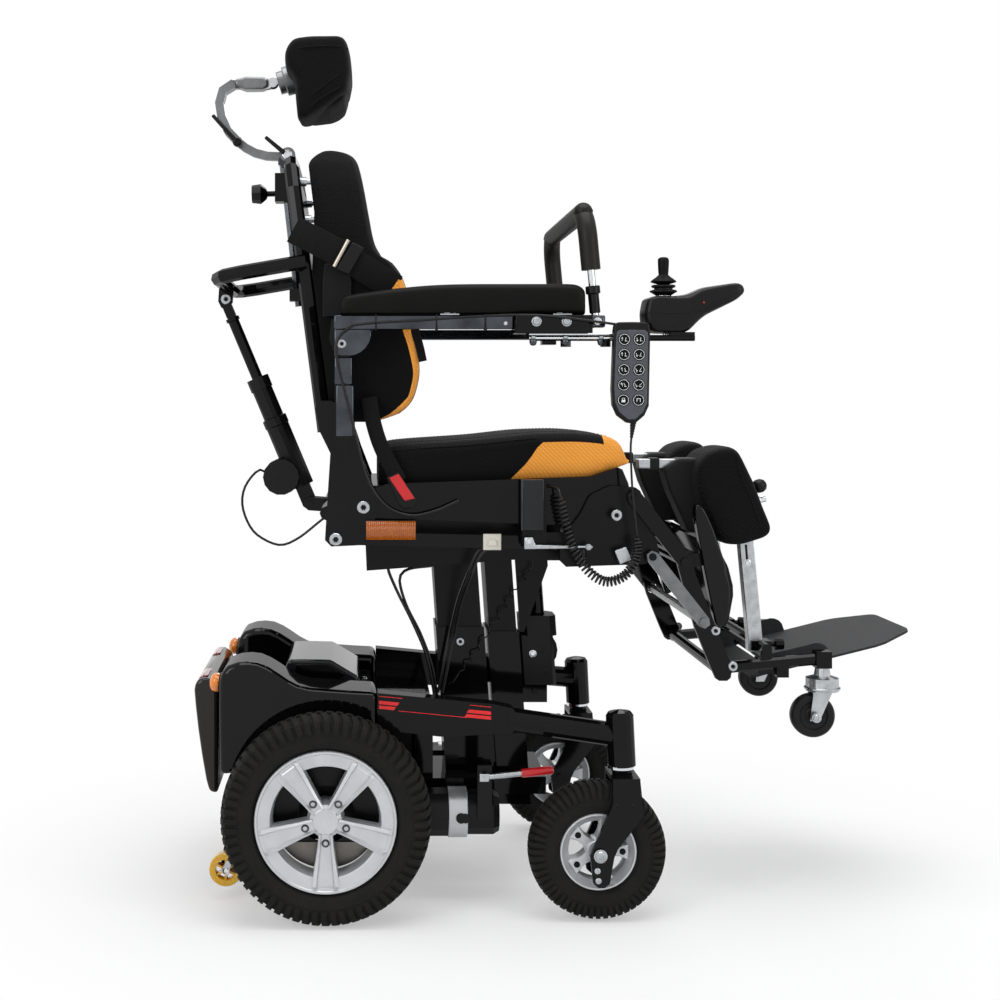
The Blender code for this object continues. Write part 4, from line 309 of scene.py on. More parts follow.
# A knitted mesh or web: slanting ribs crossed by rows, with loose threads and paler worn places
def knitted(name, deep, pale, worn, ribPitch, rowPitch, thread, depth, **layers):
    material = bpy.data.materials.new(name)
    tree = startTree(material)
    place = addNode(tree, "ShaderNodeTexCoord", {}, "Object")
    ribs, rows = [
        addNode(
            tree, "ShaderNodeTexWave",
            {"Vector": place, "Scale": 100 * math.pi / pitch, "Distortion": wander},
            "Fac", bands_direction=direction,
        )
        for pitch, wander, direction in ((ribPitch, 0.6, "DIAGONAL"), (rowPitch, 0.3, "Z"))
    ]
    threads, patches = [
        addNode(tree, "ShaderNodeTexNoise", {"Vector": place, "Scale": 1000 / size, "Detail": detail})
        for size, detail in ((thread, 2), (60, 3))
    ]
    weave = addNode(tree, "ShaderNodeMath", {0: ribs, 1: rows}, operation="MULTIPLY")
    height = addNode(tree, "ShaderNodeMath", {0: weave, 1: threads}, operation="ADD")
    wear = addNode(tree, "ShaderNodeMapRange", {"Value": patches, "To Max": 0.35})
    colour = linear(deep)
    for share, other in ((weave, pale), (wear, worn)):
        sockets = {0: share, 6: colour, 7: linear(other)}
        colour = addNode(tree, "ShaderNodeMix", sockets, 2, data_type="RGBA")
    gloss = addNode(tree, "ShaderNodeMapRange", {"Value": threads, "To Min": 0.78, "To Max": 0.98})
    finishMaterial(tree, colour, gloss, height, depth, 0.8, layers)
    return material


# Materials. The widths of the clouds and of the grain and the grain's depth are in millimetres. Real
# grain finer than about 1 mm wouldn't show, so it is drawn that coarse.

# Powder-coated steel: deep black with narrow glints
blackPaint = mottled(
    "glossBlackPowderCoat", deep="060607", pale="0d0d0e", roughness=(0.14, 0.24), cloud=80, grain=1.6,
    depth=0.12, specular=0, coat=0.36, coatRoughness=0.07,
)
# Polished ABS: mirror-like black
glossShell = mottled(
    "glossBlackShell", deep="040405", pale="08080a", roughness=(0.05, 0.12), cloud=150, grain=4,
    depth=0.06, specular=0, coat=0.45, coatRoughness=0.04,
)
# Anodised aluminium: satin black
anodised = mottled(
    "blackAnodisedAluminium", deep="09090a", pale="121213", roughness=(0.24, 0.36), cloud=60, grain=1.2,
    depth=0.12, specular=0, coat=0.3, coatRoughness=0.22,
)
# Moulded polycarbonate: smoky dark grey with a soft shine
darkCover = mottled(
    "smokedCoverPlastic", deep="17181a", pale="222326", roughness=(0.1, 0.2), cloud=50, grain=2,
    depth=0.1, specular=0.25,
)
# Cast and painted alloy: even silver
alloy = mottled(
    "silverPaintedAlloy", deep="b9bbbe", pale="d3d5d7", roughness=(0.3, 0.44), cloud=30, grain=0.9,
    depth=0.1, metallic=0.55, specular=0.5,
)
# Zinc-plated steel: bluish grey with cloudy spangle
zinc = mottled(
    "zincPlatedSteel", deep="8f9396", pale="cfd2d5", roughness=(0.18, 0.38), cloud=12, grain=1.2,
    depth=0.15, metallic=1,
)
# Chromed steel: mirror-bright
chrome = mottled(
    "chromedSteel", deep="c9cccf", pale="e4e6e8", roughness=(0.04, 0.1), cloud=30, grain=2, depth=0.05,
    metallic=1,
)
# Darkly chromed steel: black where it mirrors the floor, grey elsewhere
armSteel = mottled(
    "darkChromedArmSteel", deep="24262a", pale="5c6066", roughness=(0.06, 0.14), cloud=40, grain=1.5,
    depth=0.1, metallic=1,
)
# Sand-cast aluminium: dull grey
castGrey = mottled(
    "greyCastAluminium", deep="5c5d5e", pale="87888a", roughness=(0.26, 0.42), cloud=20, grain=0.8,
    depth=0.2, metallic=0.85,
)
# Moulded tyre rubber: matt and dusty black
tyreRubber = mottled(
    "treadedTyreRubber", deep="0d0d0d", pale="1e1c1a", roughness=(0.6, 0.9), cloud=20, grain=1,
    depth=0.4, strength=0.6, specular=0.18,
)
# Moulded rubber: soft black shine
smoothRubber = mottled(
    "smoothBlackRubber", deep="0b0b0c", pale="171718", roughness=(0.35, 0.55), cloud=30, grain=1.2,
    depth=0.2, specular=0.2,
)
# Moulded ABS with a spark-eroded grain: satin black
blackPlastic = mottled(
    "blackGrainedPlastic", deep="0d0d0e", pale="171718", roughness=(0.3, 0.45), cloud=50, grain=0.9,
    depth=0.15, specular=0, coat=0.36, coatRoughness=0.3,
)
# Soft-touch moulding: flat sooty black
softPlastic = mottled(
    "sootBlackMouldedPlastic", deep="0a0a09", pale="121211", roughness=(0.42, 0.56), cloud=50, grain=0.8,
    depth=0.2, specular=0, coat=0.18, coatRoughness=0.45,
)
# Integral polyurethane foam: pebbled and matt
foam = mottled(
    "blackIntegralFoam", deep="0c0c0c", pale="161616", roughness=(0.6, 0.85), cloud=20, grain=1.1,
    depth=0.5, strength=0.8, specular=0.25,
)
# Foam tube: warm dark grey with a broad sheen
gripFoam = mottled(
    "darkGreyGripFoam", deep="1b1a19", pale="262422", roughness=(0.5, 0.7), cloud=40, grain=1, depth=0.3,
    specular=0, coat=0.3, coatRoughness=0.4,
)
# Cast polyurethane: clear warm yellow
yellowWheel = mottled(
    "yellowPolyurethane", deep="e3a30a", pale="f7c417", roughness=(0.15, 0.3), cloud=12, grain=2,
    depth=0.2, subsurface=0.15, coat=0.4,
)
# Dipped vinyl: bright red with a soft shine
redGrip = mottled(
    "redVinylGrip", deep="b50d15", pale="d8151e", roughness=(0.25, 0.4), cloud=20, grain=2, depth=0.2,
    coat=0.2,
)
# Stuck-on film: flat bright red
redFilm = mottled(
    "redStripeFilm", deep="dd1018", pale="ee1c22", roughness=(0.2, 0.3), cloud=50, grain=3, depth=0.05,
)
# Moulded acrylic lenses: wet-looking amber, orange and dark red
amberLens = mottled(
    "amberLens", deep="ee7606", pale="ff9a16", roughness=(0.08, 0.16), cloud=6, grain=3, depth=0.3,
    coat=0.6, subsurface=0.2,
)
reflectorLens = mottled(
    "orangeReflector", deep="a04c04", pale="b86008", roughness=(0.12, 0.2), cloud=6, grain=3, depth=0.2,
    coat=0.15,
)
redLens = mottled(
    "redLens", deep="7c0a12", pale="a5121c", roughness=(0.08, 0.16), cloud=6, grain=3, depth=0.3,
    coat=0.6,
)
# Printed film: matt slate and white
handsetSlate = mottled(
    "slateHandsetFace", deep="3f4148", pale="4d4f57", roughness=(0.35, 0.5), cloud=30, grain=1,
    depth=0.1,
)
whitePrint = mottled(
    "whiteKeyPrint", deep="dfe0e2", pale="f2f3f4", roughness=(0.3, 0.45), cloud=10, grain=1, depth=0.05,
)
# Moulded nylon: milky
paleNylon = mottled(
    "paleNylonMount", deep="cfccbf", pale="e0ddd2", roughness=(0.4, 0.55), cloud=10, grain=1, depth=0.1,
)
# Extruded PVC: smooth black shine
cableJacket = mottled(
    "blackCableJacket", deep="0b0b0c", pale="161617", roughness=(0.2, 0.35), cloud=30, grain=1,
    depth=0.1, specular=0.3,
)
# Brushed steel: dull warm grey
brushedPlate = mottled(
    "brushedSteelPlate", deep="5d5a56", pale="85817b", roughness=(0.28, 0.42), cloud=30, grain=1.2,
    depth=0.1, metallic=0.8,
)
# Polished ABS in a brownish black
rearGloss = mottled(
    "brownBlackRearGloss", deep="1a1715", pale="26221f", roughness=(0.08, 0.16), cloud=120, grain=4,
    depth=0.06, specular=0.3,
)
# Plated zinc die casting: pale champagne
champagne = mottled(
    "champagneBuckleMetal", deep="a39a8c", pale="c9c2b6", roughness=(0.2, 0.35), cloud=6, grain=1,
    depth=0.06, metallic=0.9,
)
# Sheet with bonded grit: speckled dark grey
gritSheet = mottled(
    "darkGritSheet", deep="0b0b0c", pale="3a3b3d", roughness=(0.6, 0.95), cloud=2.4, grain=1.1,
    depth=0.8, strength=1, specular=0.3,
)
# Textiles, with the pitches, the thread and the depth of the weave in millimetres: spacer mesh is
# coarse, open and dull, cloth and webbing close and flat. Their threads are drawn as coarse as shows.
seatMesh = knitted(
    "blackSpacerMesh", deep="070708", pale="1b1b1c", worn="121213", ribPitch=3.4, rowPitch=2.2,
    thread=1.2, depth=0.7, sheen=0.03, sheenRoughness=0.5, specular=0.1,
)
finerMesh = knitted(
    "blackFineMesh", deep="080809", pale="161617", worn="101011", ribPitch=2.2, rowPitch=1.6, thread=0.9,
    depth=0.4, sheen=0.03, sheenRoughness=0.5, specular=0.1,
)
topCloth = knitted(
    "blackTopCloth", deep="0f0f10", pale="1b1b1c", worn="222223", ribPitch=1.2, rowPitch=1.2, thread=0.8,
    depth=0.2, sheen=0.2, sheenRoughness=0.4, specular=0.2,
)
orangeMesh = knitted(
    "orangeSpacerMesh", deep="ff981e", pale="ffd080", worn="ffb54a", ribPitch=3.8, rowPitch=2.4,
    thread=1.2, depth=0.7, sheen=0.08, sheenRoughness=0.5, specular=0.2,
)
webbing = knitted(
    "blackNylonWebbing", deep="0b0b0b", pale="1d1d1c", worn="161615", ribPitch=1.8, rowPitch=1,
    thread=0.6, depth=0.3, sheen=0.03, sheenRoughness=0.4, specular=0.15,
)
print("materials made")

# Camera, floor and light

cameraData = bpy.data.cameras.new("camera")
cameraData.sensor_width = 36
cameraData.lens = 56
cameraData.shift_x, cameraData.shift_y = 0.137, -0.104
camera = bpy.data.objects.new("camera", cameraData)
camera.location = at(0.0597, -2.8, 0.85)
camera.rotation_euler = (math.pi / 2, 0, 0)
bpy.context.scene.collection.objects.link(camera)
bpy.context.scene.camera = camera


# A pale floor that keeps the object's shadow and turns white further out
def studioFloor():
    material = bpy.data.materials.new("paleStudioFloor")
    tree = startTree(material)
    place = addNode(tree, "ShaderNodeTexCoord", {}, "Object")
    cloud = addNode(tree, "ShaderNodeTexNoise", {"Vector": place, "Scale": 1 / 0.8, "Detail": 3})
    sockets = {0: cloud, 6: linear("f7f7f8"), 7: linear("fcfcfc")}
    colour = addNode(tree, "ShaderNodeMix", sockets, 2, data_type="RGBA")
    gloss = addNode(tree, "ShaderNodeMapRange", {"Value": cloud, "To Min": 0.85, "To Max": 0.95})
    lit = addNode(
        tree, "ShaderNodeBsdfPrincipled",
        {"Base Color": colour, "Roughness": gloss, "Specular IOR Level": 0.1},
    )
    rays = addNode(tree, "ShaderNodeLightPath", {}).node.outputs
    seen = addNode(
        tree, "ShaderNodeMath", {0: rays["Is Camera Ray"], 1: rays["Is Glossy Ray"]},
        operation="MAXIMUM",
    )
    away = addNode(
        tree, "ShaderNodeVectorMath", {0: place, 1: (0, -3, 0)}, "Value", operation="DISTANCE",
    )
    reach = addNode(
        tree, "ShaderNodeMapRange",
        {"Value": away, "From Min": 0.55, "From Max": 1.25, "To Min": 0.42, "To Max": 1},
        interpolation_type="SMOOTHSTEP",
    )
    share = addNode(tree, "ShaderNodeMath", {0: seen, 1: reach}, operation="MULTIPLY")
    white = addNode(tree, "ShaderNodeEmission", {"Color": (1, 1, 1, 1), "Strength": 1})
    mix = addNode(tree, "ShaderNodeMixShader", {0: share, 1: lit, 2: white})
    addNode(tree, "ShaderNodeOutputMaterial", {"Surface": mix})
    maker = bmesh.new()
    bmesh.ops.create_grid(maker, x_segments=2, y_segments=2, size=9)
    floor = bpy.data.objects.new("floor", toMesh("floor", maker))
    floor.location = (0, 3, -0.0004)
    floor.data.materials.append(material)
    bpy.context.scene.collection.objects.link(floor)


# White behind the object and in its reflections, softer as a source of light
def studioWorld():
    world = bpy.data.worlds.new("paleStudio")
    bpy.context.scene.world = world
    tree = startTree(world)
    rays = addNode(tree, "ShaderNodeLightPath", {}).node.outputs
    shown = rays["Is Camera Ray"]
    for ray in ("Is Glossy Ray", "Is Transmission Ray"):
        shown = addNode(tree, "ShaderNodeMath", {0: shown, 1: rays[ray]}, operation="MAXIMUM")
    light = addNode(tree, "ShaderNodeBackground", {"Color": linear("f6f7f9"), "Strength": 0.42})
    white = addNode(tree, "ShaderNodeBackground", {"Color": linear("ffffff"), "Strength": 1})
    mix = addNode(tree, "ShaderNodeMixShader", {0: shown, 1: light, 2: white})
    addNode(tree, "ShaderNodeOutputWorld", {"Surface": mix})


def areaLight(name, place, aim, size, energy):
    data = bpy.data.lights.new(name, "AREA")
    data.shape = "RECTANGLE"
    data.size, data.size_y = size
    data.energy = energy
    lamp = bpy.data.objects.new(name, data)
    lamp.location = place
    lamp.rotation_euler = (Vector(aim) - Vector(place)).to_track_quat("-Z", "Y").to_euler()
    bpy.context.scene.collection.objects.link(lamp)


bpy.context.scene.view_settings.view_transform = "Standard"
studioFloor()
studioWorld()
areaLight("overhead", (0, -0.3, 3.2), (0, 0, 0.6), (2.6, 2.2), 62)
areaLight("frontLeft", (-2.4, -2.6, 2.0), (0, 0, 0.6), (1.2, 1.8), 30)
areaLight("frontRight", (2.6, -2.4, 1.6), (0, 0, 0.6), (1.0, 1.8), 22)
areaLight("behind", (0.4, 2.8, 2.4), (0, 0, 0.8), (2.2, 1.2), 22)

# Cords: the handset's coiled cord, the lift's coiled lead and the drive cables


# Lays a cord along its route
def layCord(name, body, route, radius, lay, node=None):
    cord = addTube(name, route, radius, cableJacket, body, node=node, slot="cord_rubber")
    tuple(at(*route[0]))
    sum((Vector(b) - Vector(a)).length for a, b in zip(route, route[1:]))


# A coiled cord with a straight stretch at both ends
def coiledCord(name, node, sizes, start, spine, end):
    curls = wound(spine, sizes["curls"], sizes["curl"], sizes["perCurl"])
    layCord(name, "carriage", start + curls + end, sizes["radius"], sizes["lay"], node)


handsetCordSizes = {"radius": 0.0018, "curl": 0.0068, "curls": 42, "perCurl": 14, "lay": "hanging"}
handsetLead = [
    (0.4935, -0.2852, 0.7815), (0.4925, -0.2852, 0.76), (0.496, -0.28, 0.7), (0.502, -0.274, 0.65),
    (0.506, -0.27, 0.62),
]
handsetSpine = [
    (0.506, -0.27, 0.62), (0.504, -0.269, 0.588), (0.486, -0.268, 0.558), (0.454, -0.267, 0.548),
    (0.423, -0.266, 0.569), (0.402, -0.265, 0.605), (0.39, -0.264, 0.645), (0.382, -0.262, 0.685),
]
handsetEnd = [
    (0.382, -0.262, 0.685), (0.3795, -0.255, 0.6965), (0.371, -0.238, 0.7), (0.3623, -0.229, 0.7),
]
coiledCord(
    "handsetCord", "handset_cord", handsetCordSizes,
    throughPoints(handsetLead, 0.008)[:-1], handsetSpine, throughPoints(handsetEnd, 0.003)[1:],
)
liftLeadSizes = {"radius": 0.0012, "curl": 0.0038, "curls": 10, "perCurl": 20, "lay": "taut"}
liftSpine = [
    (0.3545, -0.072, 0.548), (0.3265, -0.07, 0.511), (0.2984, -0.069, 0.4657), (0.256, -0.068, 0.401),
    (0.2264, -0.068, 0.36),
]
liftTop = [(0.356, -0.083, 0.5662), (0.356, -0.083, 0.56), (0.3555, -0.077, 0.5535)]
liftBottom = [(0.219, -0.067, 0.348), (0.213, -0.062, 0.343), (0.211, -0.0553, 0.342)]
coiledCord("liftLead", "lift_lead", liftLeadSizes, liftTop, liftSpine, liftBottom)
print("cords made")

# Wheels

tyreSizes = {
    "rear": {"radius": 0.17, "rim": 0.1143, "width": 0.075, "lugs": 64, "lug": 0.003},
    "caster": {"radius": 0.112, "rim": 0.0623, "width": 0.062, "lugs": 56, "lug": 0.0022},
}


# A pneumatic tyre with a bead ring, sidewall ribs and chevron tread blocks
def tyrePiece(name, node, centre, kind, body):
    sizes = tyreSizes[kind]
    radius, rim, lug = sizes["radius"], sizes["rim"], sizes["lug"]
    half = sizes["width"] / 2
    wall = radius - rim
    tread = radius - lug
    sidewall = (
        (0.6, 0), (0.78, 0.03), (0.9, 0.1), (0.93, 0.12), (0.97, 0.22), (1, 0.38), (0.985, 0.52),
        (0.975, 0.54), (0.93, 0.68), (0.82, 0.84),
    )
    profile = [(-share * half, rim + height * wall) for share, height in sidewall]
    profile += [(-0.62 * half, tread - 0.004), (-0.34 * half, tread - 0.0006), (0, tread)]
    profile += [(-along, distance) for along, distance in profile[-2::-1]]
    maker = bmesh.new()
    addTurned(maker, profile, centre, toFar, 96, ring=True)
    path = [
        (0.02, 0.0, radius),
        (0.34, 0.22, radius - 0.0004),
        (0.66, 0.52, radius - 0.0028),
        (0.9, 0.7, rim + 0.88 * wall),
        (1.02, 0.8, rim + 0.7 * wall),
        (1.035, 0.86, rim + 0.56 * wall),
    ]
    count = sizes["lugs"]
    for i, side in [(i, side) for i in range(count) for side in (-1, 1)]:
        turn = 2 * math.pi * (i + 0.25 * side) / count
        tops = []
        for across, twist, distance in path:
            for edge in (-0.3, 0.3):
                angle = turn + (twist * 0.5 + edge) * 2 * math.pi / count
                for lift, inward in ((0, 1), (1.7 * lug, 0.985)):
                    reach = distance - lift
                    place = reach * math.sin(angle), side * across * half * inward, reach * math.cos(angle)
                    tops.append(maker.verts.new(centre + Vector(place)))
        for k in range(0, len(tops) - 4, 4):
            a, b = tops[k : k + 4], tops[k + 4 : k + 8]
            maker.faces.new((a[0], a[2], b[2], b[0]))
            maker.faces.new((a[1], a[0], b[0], b[1]))
            maker.faces.new((a[2], a[3], b[3], b[2]))
        maker.faces.new((tops[0], tops[1], tops[3], tops[2]))
        maker.faces.new((tops[-3], tops[-4], tops[-2], tops[-1]))
    addMade(name, maker, tyreRubber, body, angle=35, node=node, slot="tyre_rubber")


rearRimSizes = {"radius": 0.114, "inner": 0.0875, "spokes": 5, "bolt": 0.0345}


# A cast wheel: a deep flared ring and five spokes, each with two raised rails
def rearRimPiece(name, side, way):
    radius, inner, spokes = rearRimSizes["radius"], rearRimSizes["inner"], rearRimSizes["spokes"]
    body = f"rear_wheel_{side}"
    centre = at(0, way * 0.29, 0.17)
    outward = (0, way, 0)
    angles = [math.pi + 2 * math.pi * i / spokes for i in range(spokes)]
    maker = bmesh.new()
    ring = [
        (0.033, radius), (0.0345, radius - 0.001), (0.0345, radius - 0.004), (0.0325, radius - 0.0055),
        (0.031, inner + 0.008), (0.029, inner + 0.002), (0.022, inner), (-0.004, inner - 0.002),
        (-0.008, inner), (-0.012, inner + 0.006), (-0.033, inner + 0.012), (-0.033, radius),
    ]
    addTurned(maker, ring, centre, outward, 96, ring=True)
    hub = [
        (0.006, 0), (0.006, 0.004), (0.0235, 0.006), (0.0265, 0.0085), (0.0265, 0.02), (0.0225, 0.026),
        (0.006, 0.03), (-0.01, 0.03), (-0.036, 0.026), (-0.036, 0.0104), (0.004, 0.0104), (0.004, 0),
    ]
    addTurned(maker, hub, centre, outward, 60)
    rails = [
        (-1.0, 0.002), (-0.94, 0.0265), (-0.66, 0.029), (-0.54, 0.0248), (0.54, 0.0248), (0.66, 0.029),
        (0.94, 0.0265), (1.0, 0.002),
    ]
    sections = [
        (0.02, 0.0115, -0.001), (0.04, 0.0135, -0.002), (0.06, 0.0165, -0.0035),
        (0.078, 0.0195, -0.0055), (0.09, 0.0215, -0.007), (0.1015, 0.0225, -0.0078),
        (0.106, 0.0215, -0.0055),
    ]
    addSpokes(maker, centre, angles, sections, rails, outward)
    addMade(name, maker, alloy, body, node=f"rear_rim_{side}", slot="silver_alloy")
    bolts = bmesh.new()
    for angle in angles:
        place = centre + Vector((math.sin(angle), 0, math.cos(angle))) * rearRimSizes["bolt"]
        addBolt(bolts, place, outward, 0.0068, 0.0075, 0.021)
    addMade(name + "Bolts", bolts, armSteel, body)
    star = [(0.0262, 0.0), (0.0262, 0.01), (0.025, 0.0115), (0.0215, 0.0115)]
    turnedPiece(name + "Star", body, alloy, star, (0, way * 0.29, 0.17), outward, 5)


# The brushed plate and the black ring behind each rear wheel
def hubPlate(side, way):
    arc = [math.radians(211 + 118 * k / 24) for k in range(25)]
    line = [(0.0868 * math.cos(a), 0.17 + 0.0868 * math.sin(a)) for a in arc]
    sidePlate(f"hubPlate_{side}", "base", brushedPlate, line, way * 0.27, way * 0.272, 0.0004, 2)
    shield = [(0.264, 0.046), (0.269, 0.046), (0.269, 0.088), (0.264, 0.088)]
    place = (0, 0, 0.17)
    turnedPiece(f"hubShield_{side}", "base", blackPlastic, shield, place, (0, way, 0), 72, ring=True)


for side, way in sides:
    hubPlate(side, way)
    centre = at(0, way * 0.29, 0.17)
    tyrePiece(f"rearTyre_{side}", f"rear_tyre_{side}", centre, "rear", f"rear_wheel_{side}")
    rearRimPiece(f"rearRim_{side}", side, way)
print("rear wheels made")

# Bolts: one mesh per body and metal, gathered while the pieces are made

boltMakers = {}
boltMetals = {"chrome": chrome, "zinc": zinc, "dark": anodised, "black": blackPlastic}


# Notes a screw head that stands on the surface at this place
def bolt(body, metal, place, axis, radius, height):
    addBolt(boltMakers.setdefault((body, metal), bmesh.new()), at(*place), axis, radius, height)


# A silver washer with a dark hexagon hole, as on the link pivots
def pivotBolt(body, place, axis, radius):
    washer = (0, 0), (0, 1), (0.0026, 1), (0.0036, 0.9), (0.0036, 0.5), (0.0012, 0.46), (0.0012, 0)
    hole = (0.001, 0), (0.001, 0.45), (0.0019, 0.45), (0.0019, 0)
    for metal, profile, count in (("zinc", washer, 32), ("dark", hole, 6)):
        maker = boltMakers.setdefault((body, metal), bmesh.new())
        addTurned(maker, [(along, radius * wide) for along, wide in profile], at(*place), axis, count)


def gatherBolts():
    for (body, metal), maker in boltMakers.items():
        addMade(f"bolts_{body}_{metal}", maker, boltMetals[metal], body)


# Padded pieces


# A pad lofted through closed rows of places, with subdivision for its soft form
def loftPad(name, body, material, rows, **stands):
    maker = bmesh.new()
    joinLoops(maker, rows)
    smoothPiece(addMade(name, maker, material, body, angle=180, **stands), 2)


# A soft curve through (place, height) points, read at this place
def between(line, value):
    if value <= line[0][0]:
        return line[0][1]
    if value >= line[-1][0]:
        return line[-1][1]
    steps = [(b[1] - a[1]) / (b[0] - a[0]) for a, b in zip(line, line[1:])]
    slopes = [steps[0]]
    for before, after in zip(steps, steps[1:]):
        slopes.append(0.0 if before * after <= 0 else 2 * before * after / (before + after))
    slopes.append(steps[-1])
    for i, ((a, low), (b, high)) in enumerate(zip(line, line[1:])):
        if value <= b:
            width = b - a
            t = (value - a) / width
            bend = slopes[i] * width * t * (1 - t) ** 2 - slopes[i + 1] * width * t * t * (1 - t)
            return low + (high - low) * t * t * (3 - 2 * t) + bend


seatSizes = {"half": 0.198, "rear": 0.086, "front": 0.506, "crown": 0.003, "channel": 0.004}
seatTopLine = [
    (0.086, 0.755), (0.092, 0.765), (0.104, 0.77), (0.125, 0.773), (0.25, 0.782), (0.36, 0.7925),
    (0.41, 0.7935), (0.445, 0.7915), (0.474, 0.7865), (0.49, 0.7785), (0.499, 0.765), (0.506, 0.748),
]
orangeBorder = [
    (0.7, 0.296), (0.7146, 0.3105), (0.738, 0.3344), (0.7647, 0.3537), (0.7821, 0.3727), (0.8, 0.4),
]


# How far along its range a value has come, from 0 to 1
def ramp(value, start, end):
    return min(1.0, max(0.0, (value - start) / (end - start)))


def seatFloor(x):
    if x <= 0.438:
        return 0.7005 + (x - 0.075) * 0.0345
    return 0.713 + (min(x, 0.508) - 0.438) * 0.3409


# The seat's upper face: crowned, with two stitched channels along it
def seatTop(x, share):
    sizes = seatSizes
    ends = max(0.0, min(1.0, (x - sizes["rear"]) / 0.03, (sizes["front"] - x) / 0.04))
    crown = sizes["crown"] * (1 - abs(share) ** 2.2) * ends
    dip = sizes["channel"] * math.exp(-(((abs(share) - 0.62) / 0.022) ** 2)) * ends
    edge = 0.014 * max(0.0, (abs(share) - 0.84) / 0.16) ** 2.4
    return between(seatTopLine, x) - 0.006 + crown - dip - edge


# The seat; the border of its orange corner lies on a row of the mesh, so its edge is clean
def seatCushion():
    half, rear, front = seatSizes["half"], seatSizes["rear"], seatSizes["front"]
    xs = [0.086, 0.0866, 0.0885, 0.092, 0.098]
    xs += [0.104 + i * (0.3105 - 0.104) / 22 for i in range(23)]
    seam = len(xs) - 1
    xs += [0.3105 + (i + 1) * (0.488 - 0.3105) / 19 for i in range(19)]
    xs += [0.494, 0.499, 0.5025, 0.505, 0.506]
    shares = [-1 + 2 * i / 64 for i in range(65)]
    rows = []
    for x in xs:
        ends = max(0.0, 1 - (x - rear) / 0.02) ** 2 * 0.004
        ends += max(0.0, 1 - (front - x) / 0.03) ** 2 * 0.01
        wide = half - ends
        drift = max(0.0, min((x - 0.19) / 0.12, (0.47 - x) / 0.16, 1.0))

        def skewed(z):
            return x + drift * (between(orangeBorder, z) - 0.3105)

        low = seatFloor(x) + 0.0006
        high = max(seatTop(skewed(seatTop(x, 1.0)), 1.0), low + 0.006)
        row = []
        for share in shares:
            blend = max(0.0, (abs(share) - 0.45) / 0.55)
            here = x + (skewed(high) - x) * blend
            row.append(at(here, share * wide, max(seatTop(here, share), seatFloor(here) + 0.0066)))
        bulges = []
        for way in (1, -1):
            column = []
            for part, out in ((0.84, 0.0008), (0.62, 0.0014), (0.4, 0.0012), (0.2, 0.0), (0.05, -0.003)):
                here = skewed(low + (high - low) * part)
                z = seatFloor(here) + 0.0006 + (high - low) * part
                column.append(at(here, way * (wide + out - 0.001), z))
            bulges.append(column)
        here = skewed(low)
        base = [at(here, (wide - 0.007) * (1 - i / 6), seatFloor(here) + 0.0006) for i in range(13)]
        rows.append(row + bulges[0] + base + bulges[1][::-1])

    def paint(i, k):  # orange on both sides ahead of the seam, and over the front
        onSide = 64 <= k <= 69 or k >= len(rows[0]) - 6
        return 1 if (i >= seam and onSide) or xs[i] >= 0.452 else 0

    maker = bmesh.new()
    joinLoops(maker, rows, paint)
    addMade(
        "seatCushion", maker, [seatMesh, orangeMesh], "seat", angle=60,
        node="seat_cushion", slot="black_fabric", fill=0.6,
    )
    for way in (-1, 1):
        edge = [(x, way * 0.1925, seatTop(x, 0.97) + 0.0012) for x in (0.11, 0.16, 0.21, 0.26, 0.31, 0.35)]
        seamCord(f"seatPiping{way + 1}", edge, "seat", radius=0.0012)


backFront = [
    (0.806, 0.094), (0.822, 0.13), (0.86, 0.15), (0.892, 0.1555), (0.925, 0.153), (0.961, 0.1452),
    (0.99, 0.139), (1.03, 0.133), (1.05, 0.1265), (1.0744, 0.11), (1.0907, 0.089), (1.11, 0.079),
    (1.16, 0.069), (1.1974, 0.0624), (1.2332, 0.055), (1.25, 0.05), (1.26, 0.044), (1.2665, 0.036),
    (1.2715, 0.025), (1.2745, 0.013),
]
backHalf = [
    (0.806, 0.175), (0.85, 0.196), (1.0, 0.198), (1.12, 0.186), (1.2, 0.172), (1.245, 0.152),
    (1.2745, 0.12),
]


def backRear(height):
    return -0.041 - (height - 1.0756) * 0.128 + 0.0131


backOrange = [
    (0.8, 0.078), (0.8132, 0.0965), (0.8358, 0.1232), (0.857, 0.14), (0.8838, 0.144), (0.926, 0.137),
    (0.9603, 0.126), (0.989, 0.1175), (1.0255, 0.106), (1.05, 0.099),
]


